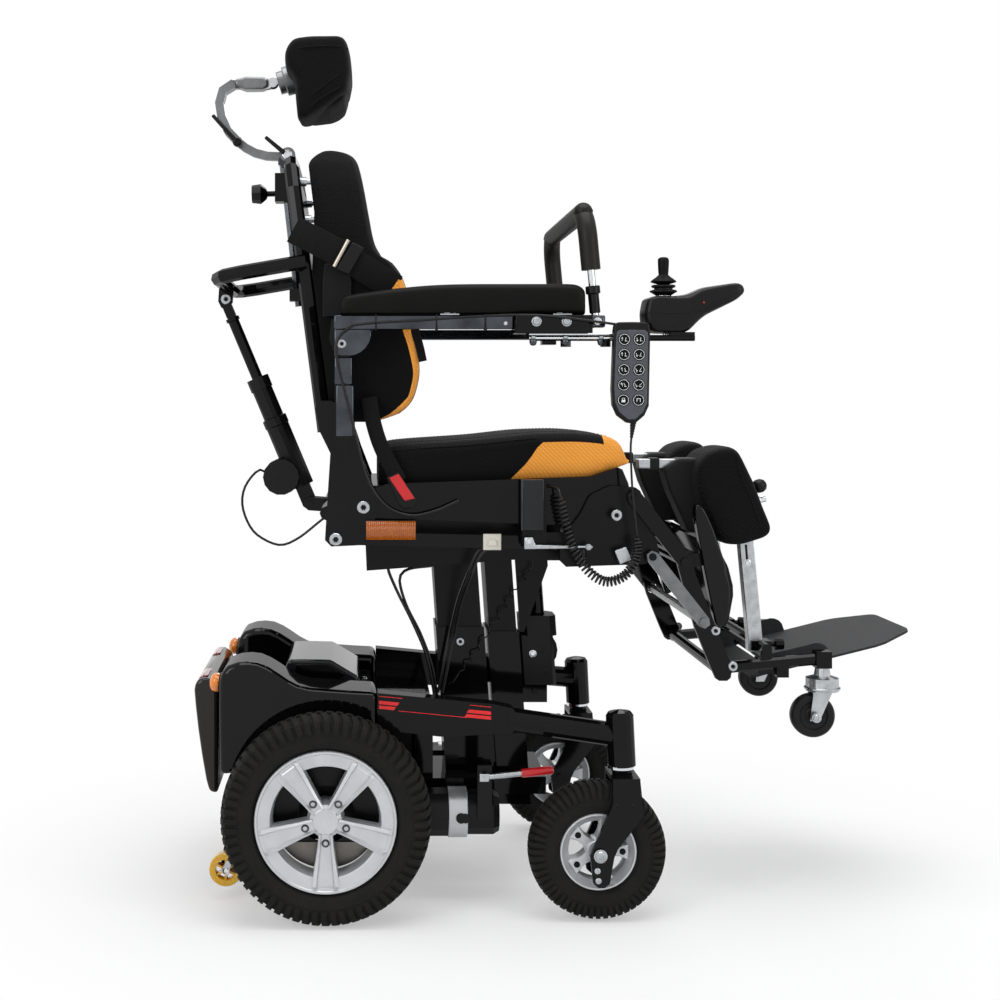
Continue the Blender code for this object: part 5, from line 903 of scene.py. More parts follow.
# The back: deep side bolsters, a hollow between them and two stitched seams down the front
def backCushion():
    low, high = 0.806, 1.2745
    stations = 92
    shares = [-1 + 2 * i / 72 for i in range(73)]
    heights = [low + (high - low) * (1 - (1 - i / stations) ** 1.4) for i in range(stations + 1)]
    rows = []
    for i, height in enumerate(heights):
        ends = max(0.0, 1 - min(i, stations - i) / 6) ** 2
        half = between(backHalf, height) - 0.012 * ends
        rear = backRear(height) + 0.016 * ramp(height, 1.06, 1.16)
        rear += 0.03 * max(0.0, (height - 1.24) / 0.0345) ** 2
        front = between(backFront, height) - 0.014 * ends * (height < 1.0)
        bolster = between([(0.806, 0.045), (1.06, 0.045), (1.11, 0.018), (1.2745, 0.003)], height)
        row = []
        for share in shares:
            reach = abs(share)
            rise = ramp(reach, 0.42, 0.82)
            hollow = bolster * (1 - rise * rise * (3 - 2 * rise))
            seam = 0.0045 * math.exp(-(((reach - 0.52) / 0.02) ** 2))
            cross = 0.0035 * math.exp(-(((height - 1.085) / 0.004) ** 2)) * (reach < 0.97)
            edge = 0.009 * max(0.0, (reach - 0.84) / 0.16) ** 2.4
            x = max(front - hollow - seam - cross - edge, rear + 0.012)
            row.append(at(x, share * half, height))
        edgeX = row[-1].x + rearAxle
        border = min(max((between(backOrange, height) - rear) / (edgeX - rear), 0.3), 0.985)
        insets = (
            (border, -0.0008), (border * 0.8, -0.0012), (border * 0.5, 0), (border * 0.2, 0.002),
            (0.03, 0.006),
        )
        left, right = [
            [at(rear + (edgeX - rear) * part, way * (half - inset), height) for part, inset in insets]
            for way in (1, -1)
        ]
        base = [at(rear, (half - 0.01) * (1 - 2 * k / 14), height) for k in range(15)]
        rows.append(row + left + base + right[::-1])

    def paint(i, k):  # orange below on both sides, the coarser mesh above the cross seam
        band = k <= 2 or 69 <= k <= 72 or k == len(rows[0]) - 1
        return 1 if band and heights[i] < 1.045 else 2 if heights[i] > 1.085 else 0

    maker = bmesh.new()
    joinLoops(maker, rows, paint)
    addMade(
        "backCushion", maker, [finerMesh, orangeMesh, seatMesh], "back", angle=60,
        node="back_cushion", slot="black_fabric", fill=0.6,
    )
    spacer = [
        (0, 0), (0, 0.005), (0.006, 0.005), (0.006, 0.008), (0.018, 0.008), (0.018, 0.005),
        (0.03, 0.005), (0.03, 0),
    ]
    for height in (1.15, 1.215):
        for side, way in sides:
            place = (backRear(height) - 0.009, way * 0.15, height)
            name = f"backSpacer_{int(height * 1000)}_{side}"
            turnedPiece(name, "back", zinc, spacer, place, (1, 0, 0), 20)


stitchSizes = {"pitch": 0.0064, "length": 0.004, "width": 0.0009, "count": 62}


# Raised topstitching beside the seat's seams: six-sided threads that dip at both ends
def seatStitches():
    length, width = stitchSizes["length"], stitchSizes["width"]
    maker = bmesh.new()
    for way in (-1, 1):
        for k in range(stitchSizes["count"]):
            x = 0.104 + k * stitchSizes["pitch"]
            middle = at(x, way * 0.66 * seatSizes["half"], seatTop(x, 0.66) + 0.0002)
            rings = []
            for t, lift, thick in ((-0.5, -0.6, 0.3), (-0.25, 0.2, 1), (0.25, 0.2, 1), (0.5, -0.6, 0.3)):
                core = middle + Vector((t * length, 0, lift * width))
                angles = [math.pi * k / 3 for k in range(6)]
                around = [Vector((0, -math.cos(a), math.sin(a))) for a in angles]
                rings.append([core + offset * width / 2 * thick for offset in around])
            joinLoops(maker, rings)
    addMade("seatStitches", maker, webbing, "seat", angle=60, slot="black_fabric")


# Evenly spaced places along a closed side outline, and their middle
def resample(outline, count):
    closed = [Vector((x, 0, z)) for x, z in outline]
    lengths = [(closed[(i + 1) % len(closed)] - p).length for i, p in enumerate(closed)]
    places = []
    for k in range(count):
        want = sum(lengths) * k / count
        i = 0
        while want > lengths[i]:
            want -= lengths[i]
            i += 1
        places.append(closed[i].lerp(closed[(i + 1) % len(closed)], want / lengths[i]))
    return places, sum(places, Vector()) / count


mouldedSteps = [  # share across the pad, and share of the crown drawn in there
    (0, 1), (0.02, 0.45), (0.07, 0.14), (0.18, 0.02), (0.35, 0), (0.5, 0),
    (0.65, 0), (0.82, 0.02), (0.93, 0.14), (0.98, 0.45), (1, 1),
]


# A moulded pad: its side outline drawn in and rounded towards both faces
def moulded(name, body, material, outline, low, high, crown, taper=0, **stands):
    places, middle = resample(outline, 44)
    top = max(place.z for place in places)
    rows = []
    for share, drawn in mouldedSteps:
        row = []
        for place in places:
            inward = middle - place
            spot = place + inward.normalized() * min(crown * drawn, inward.length * 0.8)
            z = top - (top - spot.z) * (1 - taper * share)
            row.append(at(spot.x, low + (high - low) * share, z))
        rows.append(row)
    loftPad(name, body, material, rows, **stands)


# A piped seam that follows a padded surface
def seamCord(name, route, body, material=webbing, radius=0.0011):
    addTube(name, throughPoints(route, 0.006), radius, material, body, 2)


headrestOutline = [
    (-0.0656, 1.4065), (-0.076, 1.418), (-0.0775, 1.443), (-0.073, 1.458), (-0.061, 1.471),
    (-0.03, 1.4752), (0.025, 1.475), (0.033, 1.464), (0.0385, 1.442), (0.041, 1.4132), (0.035, 1.377),
    (0.005, 1.354), (-0.0244, 1.3334), (-0.04, 1.325), (-0.054, 1.324), (-0.058, 1.3639),
    (-0.06, 1.395),
]
headrestLobe = [
    (0.033, 1.41), (0.034, 1.388), (0.028, 1.368), (0.016, 1.358), (0.002, 1.3525), (-0.0287, 1.349),
    (-0.044, 1.351), (-0.05, 1.376), (-0.04, 1.42), (0.02, 1.425),
]
headrestSeams = {
    "Top": [
        (-0.064, -0.118, 1.444), (-0.056, -0.127, 1.447), (-0.03, -0.13, 1.45), (-0.005, -0.13, 1.451),
        (0.02, -0.128, 1.451), (0.034, -0.118, 1.448),
    ],
    "Diagonal": [
        (0.033, -0.12, 1.415), (0.018, -0.1285, 1.402), (-0.002, -0.13, 1.387), (-0.022, -0.13, 1.372),
        (-0.037, -0.1265, 1.36),
    ],
    "Lower": [
        (0.029, -0.118, 1.387), (0.016, -0.1285, 1.379), (-0.002, -0.13, 1.368), (-0.02, -0.13, 1.356),
        (-0.033, -0.127, 1.346),
    ],
}


def headrest():
    soft = {"slot": "black_fabric", "fill": 0.6}
    moulded(
        "headrestPad", "headrest", finerMesh, headrestOutline, -0.13, 0.13, 0.016, 0.19,
        node="headrest_pad", **soft,
    )
    moulded("headrestLobe", "headrest", finerMesh, headrestLobe, -0.098, 0.098, 0.01, **soft)
    for name, route in headrestSeams.items():
        seamCord(f"headrest{name}Seam", route, "headrest")


# The stepped disc behind the pad with its ball, the clevis, and the two black levers
def headrestFittings():
    disc = [
        (0, 0), (0, 0.019), (0.0012, 0.0206), (0.011, 0.0206), (0.0118, 0.0212), (0.0118, 0.0248),
        (0.0132, 0.0262), (0.036, 0.0262), (0.037, 0.025), (0.037, 0),
    ]
    turnedPiece("headrestDisc", "headrest", castGrey, disc, (-0.0925, 0, 1.4123), (0.963, 0, 0.27), 56)
    turns = [math.pi * k / 10 for k in range(11)]
    ball = [(0.01 * (1 - math.cos(turn)), 0.01 * math.sin(turn)) for turn in turns]
    place = (-0.112, 0, 1.4108)
    turnedPiece("headrestBall", "headrest", blackPlastic, ball, place, (0.985, 0, 0.1), 32, angle=60)
    fork = [
        (-0.17, 1.406), (-0.17, 1.417), (-0.15, 1.4225), (-0.118, 1.4215), (-0.11, 1.418),
        (-0.109, 1.406), (-0.118, 1.3995), (-0.15, 1.399),
    ]
    sidePlate("headrestClevis", "headrest", castGrey, fork, -0.0165, 0.0165, 0.0045, 4)
    for index, (body, first, last) in enumerate((
        ("head_upper_arm", (-0.2091, 1.352), (-0.161, 1.2986)),
        ("head_lower_arm", (-0.1148, 1.3129), (-0.0809, 1.2844)),
    )):
        a, b = Vector((first[0], 0, first[1])), Vector((last[0], 0, last[1]))
        ahead = (b - a).normalized()
        beside = Vector((-ahead.z, 0, ahead.x)) * 0.004
        line = [(p.x, p.z) for p in (a - beside * 0.8, a + beside * 0.8, b + beside, b - beside)]
        sidePlate(f"headrestLever{index}", body, blackPlastic, line, -0.023, -0.0165, 0.0018)
        if index == 0:
            end = b - ahead * 0.006
            bolt(body, "black", (end.x, -0.023, end.z), toNear, 0.0062, 0.004)
    eye = [
        (-0.017, 0.009), (-0.017, 0.012), (-0.0155, 0.0135), (0.0155, 0.0135), (0.017, 0.012),
        (0.017, 0.009),
    ]
    turnedPiece(
        "headrestEye", "head_lower_arm", castGrey, eye, (-0.075, 0, 1.282), toFar, 40, ring=True,
    )
    bolt("head_lower_arm", "chrome", (-0.0755, -0.017, 1.2818), toNear, 0.0068, 0.004)


kneeOutline = [
    (0.617, 0.72), (0.6215, 0.74), (0.6379, 0.7574), (0.658, 0.764), (0.6743, 0.7663), (0.6884, 0.76),
    (0.7, 0.738), (0.7185, 0.7009), (0.732, 0.662), (0.745, 0.629), (0.744, 0.619), (0.7348, 0.6118),
    (0.6944, 0.599), (0.67, 0.6), (0.6539, 0.6098), (0.6379, 0.6402), (0.624, 0.67), (0.6175, 0.7),
]


def kneeSupport(side, way):
    body = f"knee_support_{side}"
    centre = way * 0.13
    lean = (0.97, 0, 0.24)
    moulded(
        f"kneePad_{side}", body, seatMesh, kneeOutline, centre - 0.075, centre + 0.075, 0.014,
        node=f"knee_pad_{side}", slot="black_fabric", fill=0.6,
    )
    y = centre - 0.0752
    seam = [
        (0.683, y + 0.001, 0.752), (0.69, y, 0.72), (0.703, y, 0.69), (0.716, y, 0.655),
        (0.726, y + 0.001, 0.628),
    ]
    seamCord(f"kneeSeam_{side}", seam, body, radius=0.0009)
    knob = [
        (0, 0), (0, 0.0055), (0.01, 0.0055), (0.0125, 0.0095), (0.018, 0.0118), (0.025, 0.0118),
        (0.031, 0.0085), (0.0335, 0.004), (0.034, 0),
    ]
    place = (0.719, centre, 0.6905)
    turnedPiece(f"kneeKnob_{side}", body, blackPlastic, knob, place, lean, 32, angle=60)
    stud = [
        (0, 0), (0, 0.007), (0.014, 0.007), (0.015, 0.005), (0.024, 0.005), (0.025, 0.0035), (0.025, 0),
    ]
    turnedPiece(f"kneeStud_{side}", body, chrome, stud, (0.727, centre, 0.668), lean, 24)
    post = [
        (0.702, 0.612), (0.7265, 0.612), (0.7432, 0.43), (0.7432, 0.413), (0.7187, 0.413),
        (0.7187, 0.43),
    ]
    arm = [
        (0.57, 0.7266), (0.596, 0.744), (0.65, 0.744), (0.66, 0.7), (0.656, 0.645), (0.645, 0.618),
        (0.612, 0.618), (0.598, 0.65), (0.58, 0.69),
    ]
    slot = [(0.712, 0.596), (0.716, 0.596), (0.7182, 0.57), (0.7142, 0.57)]
    plates = (
        ("Hinge", foam, arm, 0.03, 0.006, 4),
        ("Clip", zinc, rectangle(0.53, 0.7266, 0.596, 0.742), 0.013, 0.0015, 2),
        ("Band", blackPlastic, rectangle(0.55, 0.724, 0.566, 0.744), 0.015, 0.0012, 2),
    )
    for name, material, line, half, bevel, segments in plates:
        sidePlate(
            f"knee{name}_{side}", body, material, line, centre - half, centre + half, bevel, segments
        )
    sidePlate(
        f"kneePost_{side}", body, zinc, post, centre - 0.0115, centre + 0.0115, 0.0012, 2,
        node=f"knee_post_{side}", slot="zinc_steel",
    )
    face = centre + way * 0.0115
    low, high = face - way * 0.001, face + way * 0.0004
    sidePlate(f"kneeSlot_{side}", body, blackPlastic, slot, low, high, 0.0002, 1)
    bolt(body, "chrome", (0.7168, face, 0.565), (0, way, 0), 0.0046, 0.003)


calfLine = [
    (0.6086, 0.6722), (0.619, 0.67), (0.6248, 0.662), (0.639, 0.6318), (0.6572, 0.5789),
    (0.6673, 0.5263), (0.664, 0.4859), (0.656, 0.467), (0.6451, 0.4657), (0.6349, 0.5061),
    (0.6228, 0.5669), (0.615, 0.61), (0.608, 0.65),
]


# A long glossy lens-shaped shell on the outside of each leg frame
def calfShell(side, way):
    low, high = sorted((way * 0.205, way * 0.233))
    moulded(
        f"calfShell_{side}", "leg_frame", glossShell, calfLine, low, high, 0.015, slot="gloss_shell",
    )
    for x, z in ((0.6436, 0.4613), (0.6722, 0.4023)):
        pivotBolt("leg_frame", (x, way * 0.2227, z), (0, way, 0), 0.0078)


# A grained arm pad, lower at its rear end
def armPad(side, way):
    centre = way * 0.24
    low = 0.9836
    stations = (
        0.0222, 0.0232, 0.027, 0.036, 0.06, 0.1, 0.16, 0.22, 0.28, 0.34, 0.385, 0.408, 0.418, 0.4225,
        0.4235,
    )
    section = (
        (-0.8, 0.0), (-0.97, 0.1), (-1.0, 0.35), (-1.0, 0.66), (-0.9, 0.88), (-0.62, 0.98), (0.0, 1.0),
        (0.62, 0.98), (0.9, 0.88), (1.0, 0.66), (1.0, 0.35), (0.97, 0.1), (0.8, 0.0), (0.0, 0.0),
    )
    rows = []
    for x in stations:
        end = min(1.0, math.sqrt(max(0.0, min((x - 0.0218) / 0.01, (0.424 - x) / 0.012))))
        half = 0.0238 * (0.72 + 0.28 * end)
        top = 1.013 + 0.0215 * ramp(x, 0.02, 0.18) ** 0.8
        top = 0.999 + (top - 0.999) * (0.55 + 0.45 * end)
        rows.append([at(x, centre + across * half, low + (top - low) * up) for across, up in section])
    loftPad(
        f"armPad_{side}", f"armrest_{side}", softPlastic, rows,
        node=f"arm_pad_{side}", slot="black_foam", fill=0.6,
    )


for side, way in sides:
    kneeSupport(side, way)
    calfShell(side, way)
    armPad(side, way)
seatCushion()
backCushion()
seatStitches()
headrest()
headrestFittings()
print("pads made")

# Casters, anti-tip wheels and small casters


def casterWheel(side, way):
    body, fork = f"caster_wheel_{side}", f"caster_fork_{side}"
    centre = at(0.4406, way * 0.26, 0.112)
    tyrePiece(f"casterTyre_{side}", f"caster_tyre_{side}", centre, "caster", body)
    maker = bmesh.new()
    radius = tyreSizes["caster"]["rim"]
    ring = [
        (0.0225, radius), (0.0235, radius - 0.001), (0.0235, radius - 0.0035), (0.019, radius - 0.006),
        (0.013, radius - 0.014), (0.006, radius - 0.016), (-0.006, radius - 0.016),
        (-0.013, radius - 0.014), (-0.019, radius - 0.006), (-0.0235, radius - 0.0035),
        (-0.0235, radius - 0.001), (-0.0225, radius),
    ]
    addTurned(maker, ring, centre, toFar, 80, ring=True)
    hub = [
        (0.0205, 0.0065), (0.0205, 0.0165), (0.019, 0.018), (0.01, 0.02), (-0.01, 0.02),
        (-0.019, 0.018), (-0.0205, 0.0165), (-0.0205, 0.0065),
    ]
    addTurned(maker, hub, centre, toFar, 48, ring=True)
    angles = [2 * math.pi * (i + 0.28) / 5 for i in range(5)]
    sections = [(0.017, 0.0092, 0), (0.026, 0.0074, 0), (0.036, 0.008, 0), (0.049, 0.0135, 0)]
    outline = [
        (-1, -0.0135), (-0.86, -0.015), (0.86, -0.015), (1, -0.0135), (1, 0.0135), (0.86, 0.015),
        (-0.86, 0.015), (-1, 0.0135),
    ]
    addSpokes(maker, centre, angles, sections, outline, toFar)
    addMade(f"casterRim_{side}", maker, alloy, body, node=f"caster_rim_{side}", slot="silver_alloy")
    for angle in angles:
        place = (0.4406 + 0.0405 * math.sin(angle), way * 0.275, 0.112 + 0.0405 * math.cos(angle))
        bolt(body, "dark", place, (0, way, 0), 0.004, 0.0036)
    bolt(fork, "zinc", (0.4406, way * 0.307, 0.112), (0, way, 0), 0.0085, 0.005)


def smallCaster(side, way):
    fork = f"small_fork_{side}"
    half = [
        (0.0105, 0.0045), (0.0105, 0.012), (0.0085, 0.014), (0.0085, 0.022), (0.0105, 0.024),
        (0.0115, 0.0305), (0.0105, 0.034), (0.0075, 0.0364),
    ]
    profile = [(-along, radius) for along, radius in half] + [(0, 0.037)] + half[::-1]
    turnedPiece(
        f"smallWheel_{side}", f"small_wheel_{side}", smoothRubber, profile, (0.816, way * 0.18, 0.313),
        toFar, 64, ring=True, angle=35, node=f"small_wheel_{side}", slot="tyre_rubber",
    )
    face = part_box(fork)[way > 0].y
    bolt(fork, "zinc", (0.816, face, 0.313), (0, way, 0), 0.0062, 0.0045)
    race = [
        (0.0, 0.015), (0.0, 0.0285), (0.0016, 0.03), (0.004, 0.03), (0.0052, 0.028), (0.0052, 0.015),
    ]
    turnedPiece(f"smallRace_{side}", fork, zinc, race, (0.833, way * 0.18, 0.356), toTop, 48, ring=True)


def antitip(side, way):
    centre = at(-0.172, way * 0.165, 0.05)
    maker = bmesh.new()
    ring = [
        (-0.0105, 0.0175), (-0.0105, 0.0262), (-0.0085, 0.028), (0.0085, 0.028), (0.0105, 0.0262),
        (0.0105, 0.0175), (0.006, 0.0165), (-0.006, 0.0165),
    ]
    addTurned(maker, ring, centre, toFar, 64, ring=True)
    hub = [(-0.0108, 0.0036), (-0.0108, 0.0072), (0.0108, 0.0072), (0.0108, 0.0036)]
    addTurned(maker, hub, centre, toFar, 32, ring=True)
    outline = [(-1, -0.0088), (1, -0.0088), (1, 0.0088), (-1, 0.0088)]
    sections = [(0.0062, 0.0017, 0), (0.018, 0.0017, 0)]
    addSpokes(maker, centre, [math.pi * i / 3 for i in range(6)], sections, outline, toFar)
    addMade(
        f"antitipWheel_{side}", maker, yellowWheel, f"antitip_wheel_{side}",
        node=f"antitip_wheel_{side}", slot="yellow_polyurethane",
    )


for side, way in sides:
    casterWheel(side, way)
    smallCaster(side, way)
    antitip(side, way)
print("casters made")

# Grab bar, joystick and handset


def grabBar():
    radius = 0.05
    foot, top = Vector((0.4375, 0, 1.03)), Vector((0.4258, 0, 1.156))
    rise = (top - foot).normalized()
    half = [foot + rise * (top - foot).length * t for t in (0.22, 0.3, 0.38, 0.45)]
    for k in range(9):
        angle = math.pi / 2 * k / 8
        inward = Vector((0, -radius * (1 - math.cos(angle)), 0))
        half.append(top - rise * radius + rise * radius * math.sin(angle) + inward)
    right = [Vector((p.x, -0.24 - p.y, p.z)) for p in half]
    left = [Vector((p.x, 0.24 + p.y, p.z)) for p in half]
    route = throughPoints(right + left[::-1], 0.006)
    addTube("grabFoam", route, 0.0158, gripFoam, "grab_bar", 7, node="grab_bar", slot="black_foam")
    collar = [
        (0, 0.0067), (0, 0.008), (0.0015, 0.009), (0.031, 0.009), (0.033, 0.012), (0.044, 0.012),
        (0.045, 0.011), (0.045, 0.0067),
    ]
    for side, way in sides:
        ends = foot - rise * 0.068, foot + rise * 0.036
        leg = [(end.x, way * 0.24, end.z) for end in ends]
        addTube(f"grabLeg_{side}", leg, 0.0066, chrome, "grab_bar", 6, slot="zinc_steel")
        start = foot - rise * 0.044
        place = (start.x, way * 0.24, start.z)
        turnedPiece(f"grabCollar_{side}", "grab_bar", blackPlastic, collar, place, rise, 40, ring=True)
        block = (0.431, 0.457, way * 0.24 - 0.014, way * 0.24 + 0.014, 0.962, 0.983)
        blockPiece(f"grabSocket_{side}", f"armrest_{side}", armSteel, [block], 0.004, 3)
        bolt(f"armrest_{side}", "chrome", (0.444, way * 0.254, 0.9725), (0, way, 0), 0.0048, 0.004)


podSteps = [  # share across the pod, and how far its outline is drawn in there
    (0, 0.012), (0.03, 0.0065), (0.1, 0.0025), (0.24, 0.0006), (0.4, 0), (0.5, 0),
    (0.6, 0), (0.76, 0.0006), (0.9, 0.0025), (0.97, 0.0065), (1, 0.012),
]


# The pod: full in its middle, drawn in towards both sides, and open for the boot of the stick
def joystickPod(body):
    outline = [
        (0.521, 1.009), (0.5165, 0.985), (0.5195, 0.96), (0.532, 0.953), (0.578, 0.9515),
        (0.592, 0.956), (0.609, 0.973), (0.621, 0.9825), (0.671, 1.0075), (0.684, 1.02),
        (0.6825, 1.031), (0.671, 1.036), (0.615, 1.028), (0.59, 1.017), (0.565, 1.0135),
        (0.534, 1.0135),
    ]
    places, middle = resample(outline, 56)
    rows = []
    for share, drawn in podSteps:
        spots = [place + (middle - place).normalized() * drawn for place in places]
        rows.append([at(spot.x, -0.274 + 0.068 * share, spot.z) for spot in spots])
    maker = bmesh.new()
    joinLoops(maker, rows)
    pod = addMade(
        "joystickPod", maker, blackPlastic, body, angle=45, node="joystick_box", slot="black_plastic",
    )
    smoothPiece(pod, 1)
    well = bmesh.new()
    hole = [(-0.0145, 0), (-0.0145, 0.0178), (0.03, 0.0178), (0.03, 0)]
    addTurned(well, hole, at(0.554, -0.24, 1.012), toTop, 40)
    cutter = bpy.data.objects.new("joystickWellCutter", toMesh("joystickWellCutter", well))
    bpy.context.scene.collection.objects.link(cutter)
    cut = pod.modifiers.new("well", "BOOLEAN")
    cut.operation, cut.solver, cut.object = "DIFFERENCE", "EXACT", cutter
    bpy.context.view_layer.update()
    finished = bpy.data.meshes.new_from_object(pod.evaluated_get(bpy.context.evaluated_depsgraph_get()))
    pod.modifiers.clear()
    pod.data = finished
    bpy.data.objects.remove(cutter)


def joystick():
    body = "armrest_right"
    centre = (0.554, -0.24, 1.012)
    joystickPod(body)
    seam = [
        (0.5185, -0.2735, 0.986), (0.545, -0.2747, 0.985), (0.598, -0.2747, 0.986),
        (0.64, -0.2747, 1.004), (0.676, -0.2735, 1.0225),
    ]
    seamCord("joystickSeam", seam, body, anodised, 0.0005)
    light = [(0, 0), (0, 0.002), (0.0014, 0.0016), (0.0018, 0)]
    turnedPiece("joystickLight", body, redLens, light, (0.613, -0.2742, 1.002), toNear, 16)
    pin = [(0, 0), (0, 0.0028), (0.007, 0.0028), (0.0085, 0.0018), (0.0085, 0)]
    for x in (0.5545, 0.564):
        turnedPiece(
            f"joystickPin{int(x * 10000)}", body, chrome, pin, (x, -0.246, 0.9542), toGround, 16,
        )
    bellows = [
        (-0.011, 0.012), (-0.008, 0.0162), (-0.003, 0.0166), (0.001, 0.015), (0.003, 0.012),
        (0.008, 0.02), (0.0088, 0.0222), (0.0108, 0.0224), (0.0122, 0.0205), (0.0132, 0.015),
        (0.015, 0.015), (0.0165, 0.0185), (0.0174, 0.0198), (0.0196, 0.0198), (0.0205, 0.0185),
        (0.0212, 0.012), (0.0214, 0),
    ]
    turnedPiece("joystickBoot", "gimbal", smoothRubber, bellows, centre, toTop, 48, angle=50)
    stick = [
        (0.0208, 0), (0.0208, 0.006), (0.0246, 0.0195), (0.0256, 0.0212), (0.0272, 0.0205),
        (0.0304, 0.0165), (0.0335, 0.0122), (0.0374, 0.0078), (0.04, 0.0082), (0.048, 0.0087),
        (0.06, 0.0092), (0.0635, 0.0086), (0.0655, 0.0066), (0.0664, 0.004), (0.0667, 0),
    ]
    turnedPiece(
        "joystickKnob", "stick", softPlastic, stick, centre, toTop, 48,
        angle=60, node="joystick_stick", slot="black_plastic",
    )


keySizes = {"rows": 5, "first": 0.9412, "pitch": 0.02445, "left": 0.4802, "right": 0.5042}


def handset():
    body = "armrest_right"
    outline = [
        (0.4605, 0.8603), (0.464, 0.956), (0.4652, 0.965), (0.4695, 0.969), (0.493, 0.9694),
        (0.517, 0.969), (0.5215, 0.965), (0.5226, 0.956), (0.5203, 0.834), (0.513, 0.8185),
        (0.499, 0.8066), (0.4862, 0.8062), (0.47, 0.8185), (0.462, 0.8357),
    ]
    sidePlate(
        "handsetShell", body, blackPlastic, outline, -0.2964, -0.274, 0.0035, 4,
        node="handset", slot="black_plastic",
    )
    middleX, middleZ = 0.4915, 0.8885
    inner = [
        (middleX + (x - middleX) * 0.88, middleZ + (z - middleZ) * (0.925 if z < middleZ else 0.84))
        for x, z in outline
    ]
    sidePlate("handsetFace", body, handsetSlate, inner, -0.297, -0.295, 0.0006, 2, slot="black_plastic")
    key = [(0, 0), (0, 0.0098), (0.0006, 0.01), (0.001, 0.0094), (0.0012, 0.007), (0.0012, 0)]
    ring = [(0.0009, 0.0079), (0.00135, 0.0079), (0.00135, 0.0086), (0.0009, 0.0086)]
    keys, rings, marks = bmesh.new(), bmesh.new(), bmesh.new()
    for row in range(keySizes["rows"]):
        for x in (keySizes["left"] - 0.0004 * row, keySizes["right"] - 0.0003 * row):
            z = keySizes["first"] - row * keySizes["pitch"]
            place = at(x, -0.297, z)
            addTurned(keys, key, place, toNear, 32)
            addTurned(rings, ring, place, toNear, 40, ring=True)
            for points in markPatches(row, x > middleX):
                marks.faces.new([marks.verts.new(at(x + px, -0.2984, z + pz)) for px, pz in points])
    addMade("handsetKeys", keys, softPlastic, body, angle=40)
    addMade("handsetRings", rings, whitePrint, body, angle=40)
    addMade("handsetMarks", marks, whitePrint, body, angle=40, merge=False)
    steps = ((0, 0), (0.0028, 0), (0.003, 0.0009), (0.0043, 0.0009))
    relief = [(0.0045 * k + d, 0.0052 - 0.0005 * k - e) for k in range(6) for d, e in steps]
    relief = [(-0.001, 0)] + relief + [(0.027, 0.0024), (0.027, 0)]
    place = (0.4965, -0.2852, 0.808)
    turnedPiece("handsetRelief", body, smoothRubber, relief, place, (-0.11, 0, -0.99), 28)


# The outlines of the small printed arrow pair, bracket or lock over a key's middle
def markPatches(row, right):
    if row == 4 and right:
        return [
            rectangle(-0.0032, -0.003, -0.0022, 0.0028), rectangle(0.0022, -0.003, 0.0032, 0.0028),
            rectangle(-0.0022, 0.0018, 0.0022, 0.0028),
        ]
    if row == 4:
        return [
            rectangle(-0.003, -0.0034, 0.003, 0.0004), rectangle(-0.0024, 0.0004, -0.0015, 0.0034),
            rectangle(0.0015, 0.0004, 0.0024, 0.0034), rectangle(-0.0015, 0.0026, 0.0015, 0.0034),
        ]
    up = -1 if right else 1
    lean = 0.0008 * row * up
    return [
        [
            (lean - 0.0044, -0.0024 * up), (lean - 0.0036, -0.0024 * up), (-0.003, 0.002 * up),
            (-0.0038, 0.002 * up),
        ],
        [(-0.0052, 0.001 * up), (-0.0018, 0.001 * up), (-0.0034, 0.004 * up)],
        rectangle(0.0008, -0.003, 0.0046, -0.0022),
        [
            (0.0012 + lean * 0.5, -0.0022), (0.0021 + lean * 0.5, -0.0022),
            (0.003 - lean, 0.003), (0.0021 - lean, 0.003),
        ],
    ]


grabBar()
joystick()
handset()
print("controls made")

# Body shells, domes, reflectors and stripes


def deckHeight(x):
    return 0.3305 - (x + 0.0555) * 0.0547


fenderLine = [
    (-0.176, 0.226), (-0.1775, 0.33), (-0.177, 0.38), (-0.1735, 0.396), (-0.163, 0.4055),
    (-0.147, 0.411), (-0.13, 0.4125), (-0.113, 0.4105), (-0.096, 0.403), (-0.08, 0.393),
    (-0.064, 0.382), (-0.048, 0.3735), (-0.028, 0.369), (0.0, 0.3668), (0.04, 0.364), (0.084, 0.3618),
    (0.084, 0.26),
]


def bodyShell():
    maker = bmesh.new()
    for side, way in sides:
        addPrism(maker, fenderLine, way * 0.1305, way * 0.2445)
    addMade("bodyFenders", maker, glossShell, "base", 0.011, 5, node="body_shell", slot="gloss_shell")
    decks = bmesh.new()
    for low, high, half in ((-0.105, 0.173, 0.1303), (0.082, 0.173, 0.2107)):
        under, over = [[(x, deckHeight(x) - drop) for x in (low, high)] for drop in (0.003, 0)]
        addPrism(decks, under + over[::-1], -half, half)
    addMade("bodyDeck", decks, glossShell, "base", 0.001)
    dome = [
        (-0.006, 0.0135), (0.0, 0.015), (0.0045, 0.016), (0.0075, 0.0158), (0.011, 0.014),
        (0.014, 0.01), (0.0158, 0.005), (0.0163, 0),
    ]
    base = [(-0.008, 0), (-0.008, 0.0172), (0.0006, 0.0172), (0.002, 0.016), (0.002, 0)]
    for side, way in sides:
        place = (-0.18, way * 0.19, 0.369)
        turnedPiece(f"indicatorBase_{side}", "base", blackPlastic, base, place, (-1, 0, 0.12), 40)
        turnedPiece(
            f"indicatorLens_{side}", "base", amberLens, dome, (-0.1815, way * 0.19, 0.3692),
            (-1, 0, 0.12), 40, angle=60, slot="gloss_shell",
        )


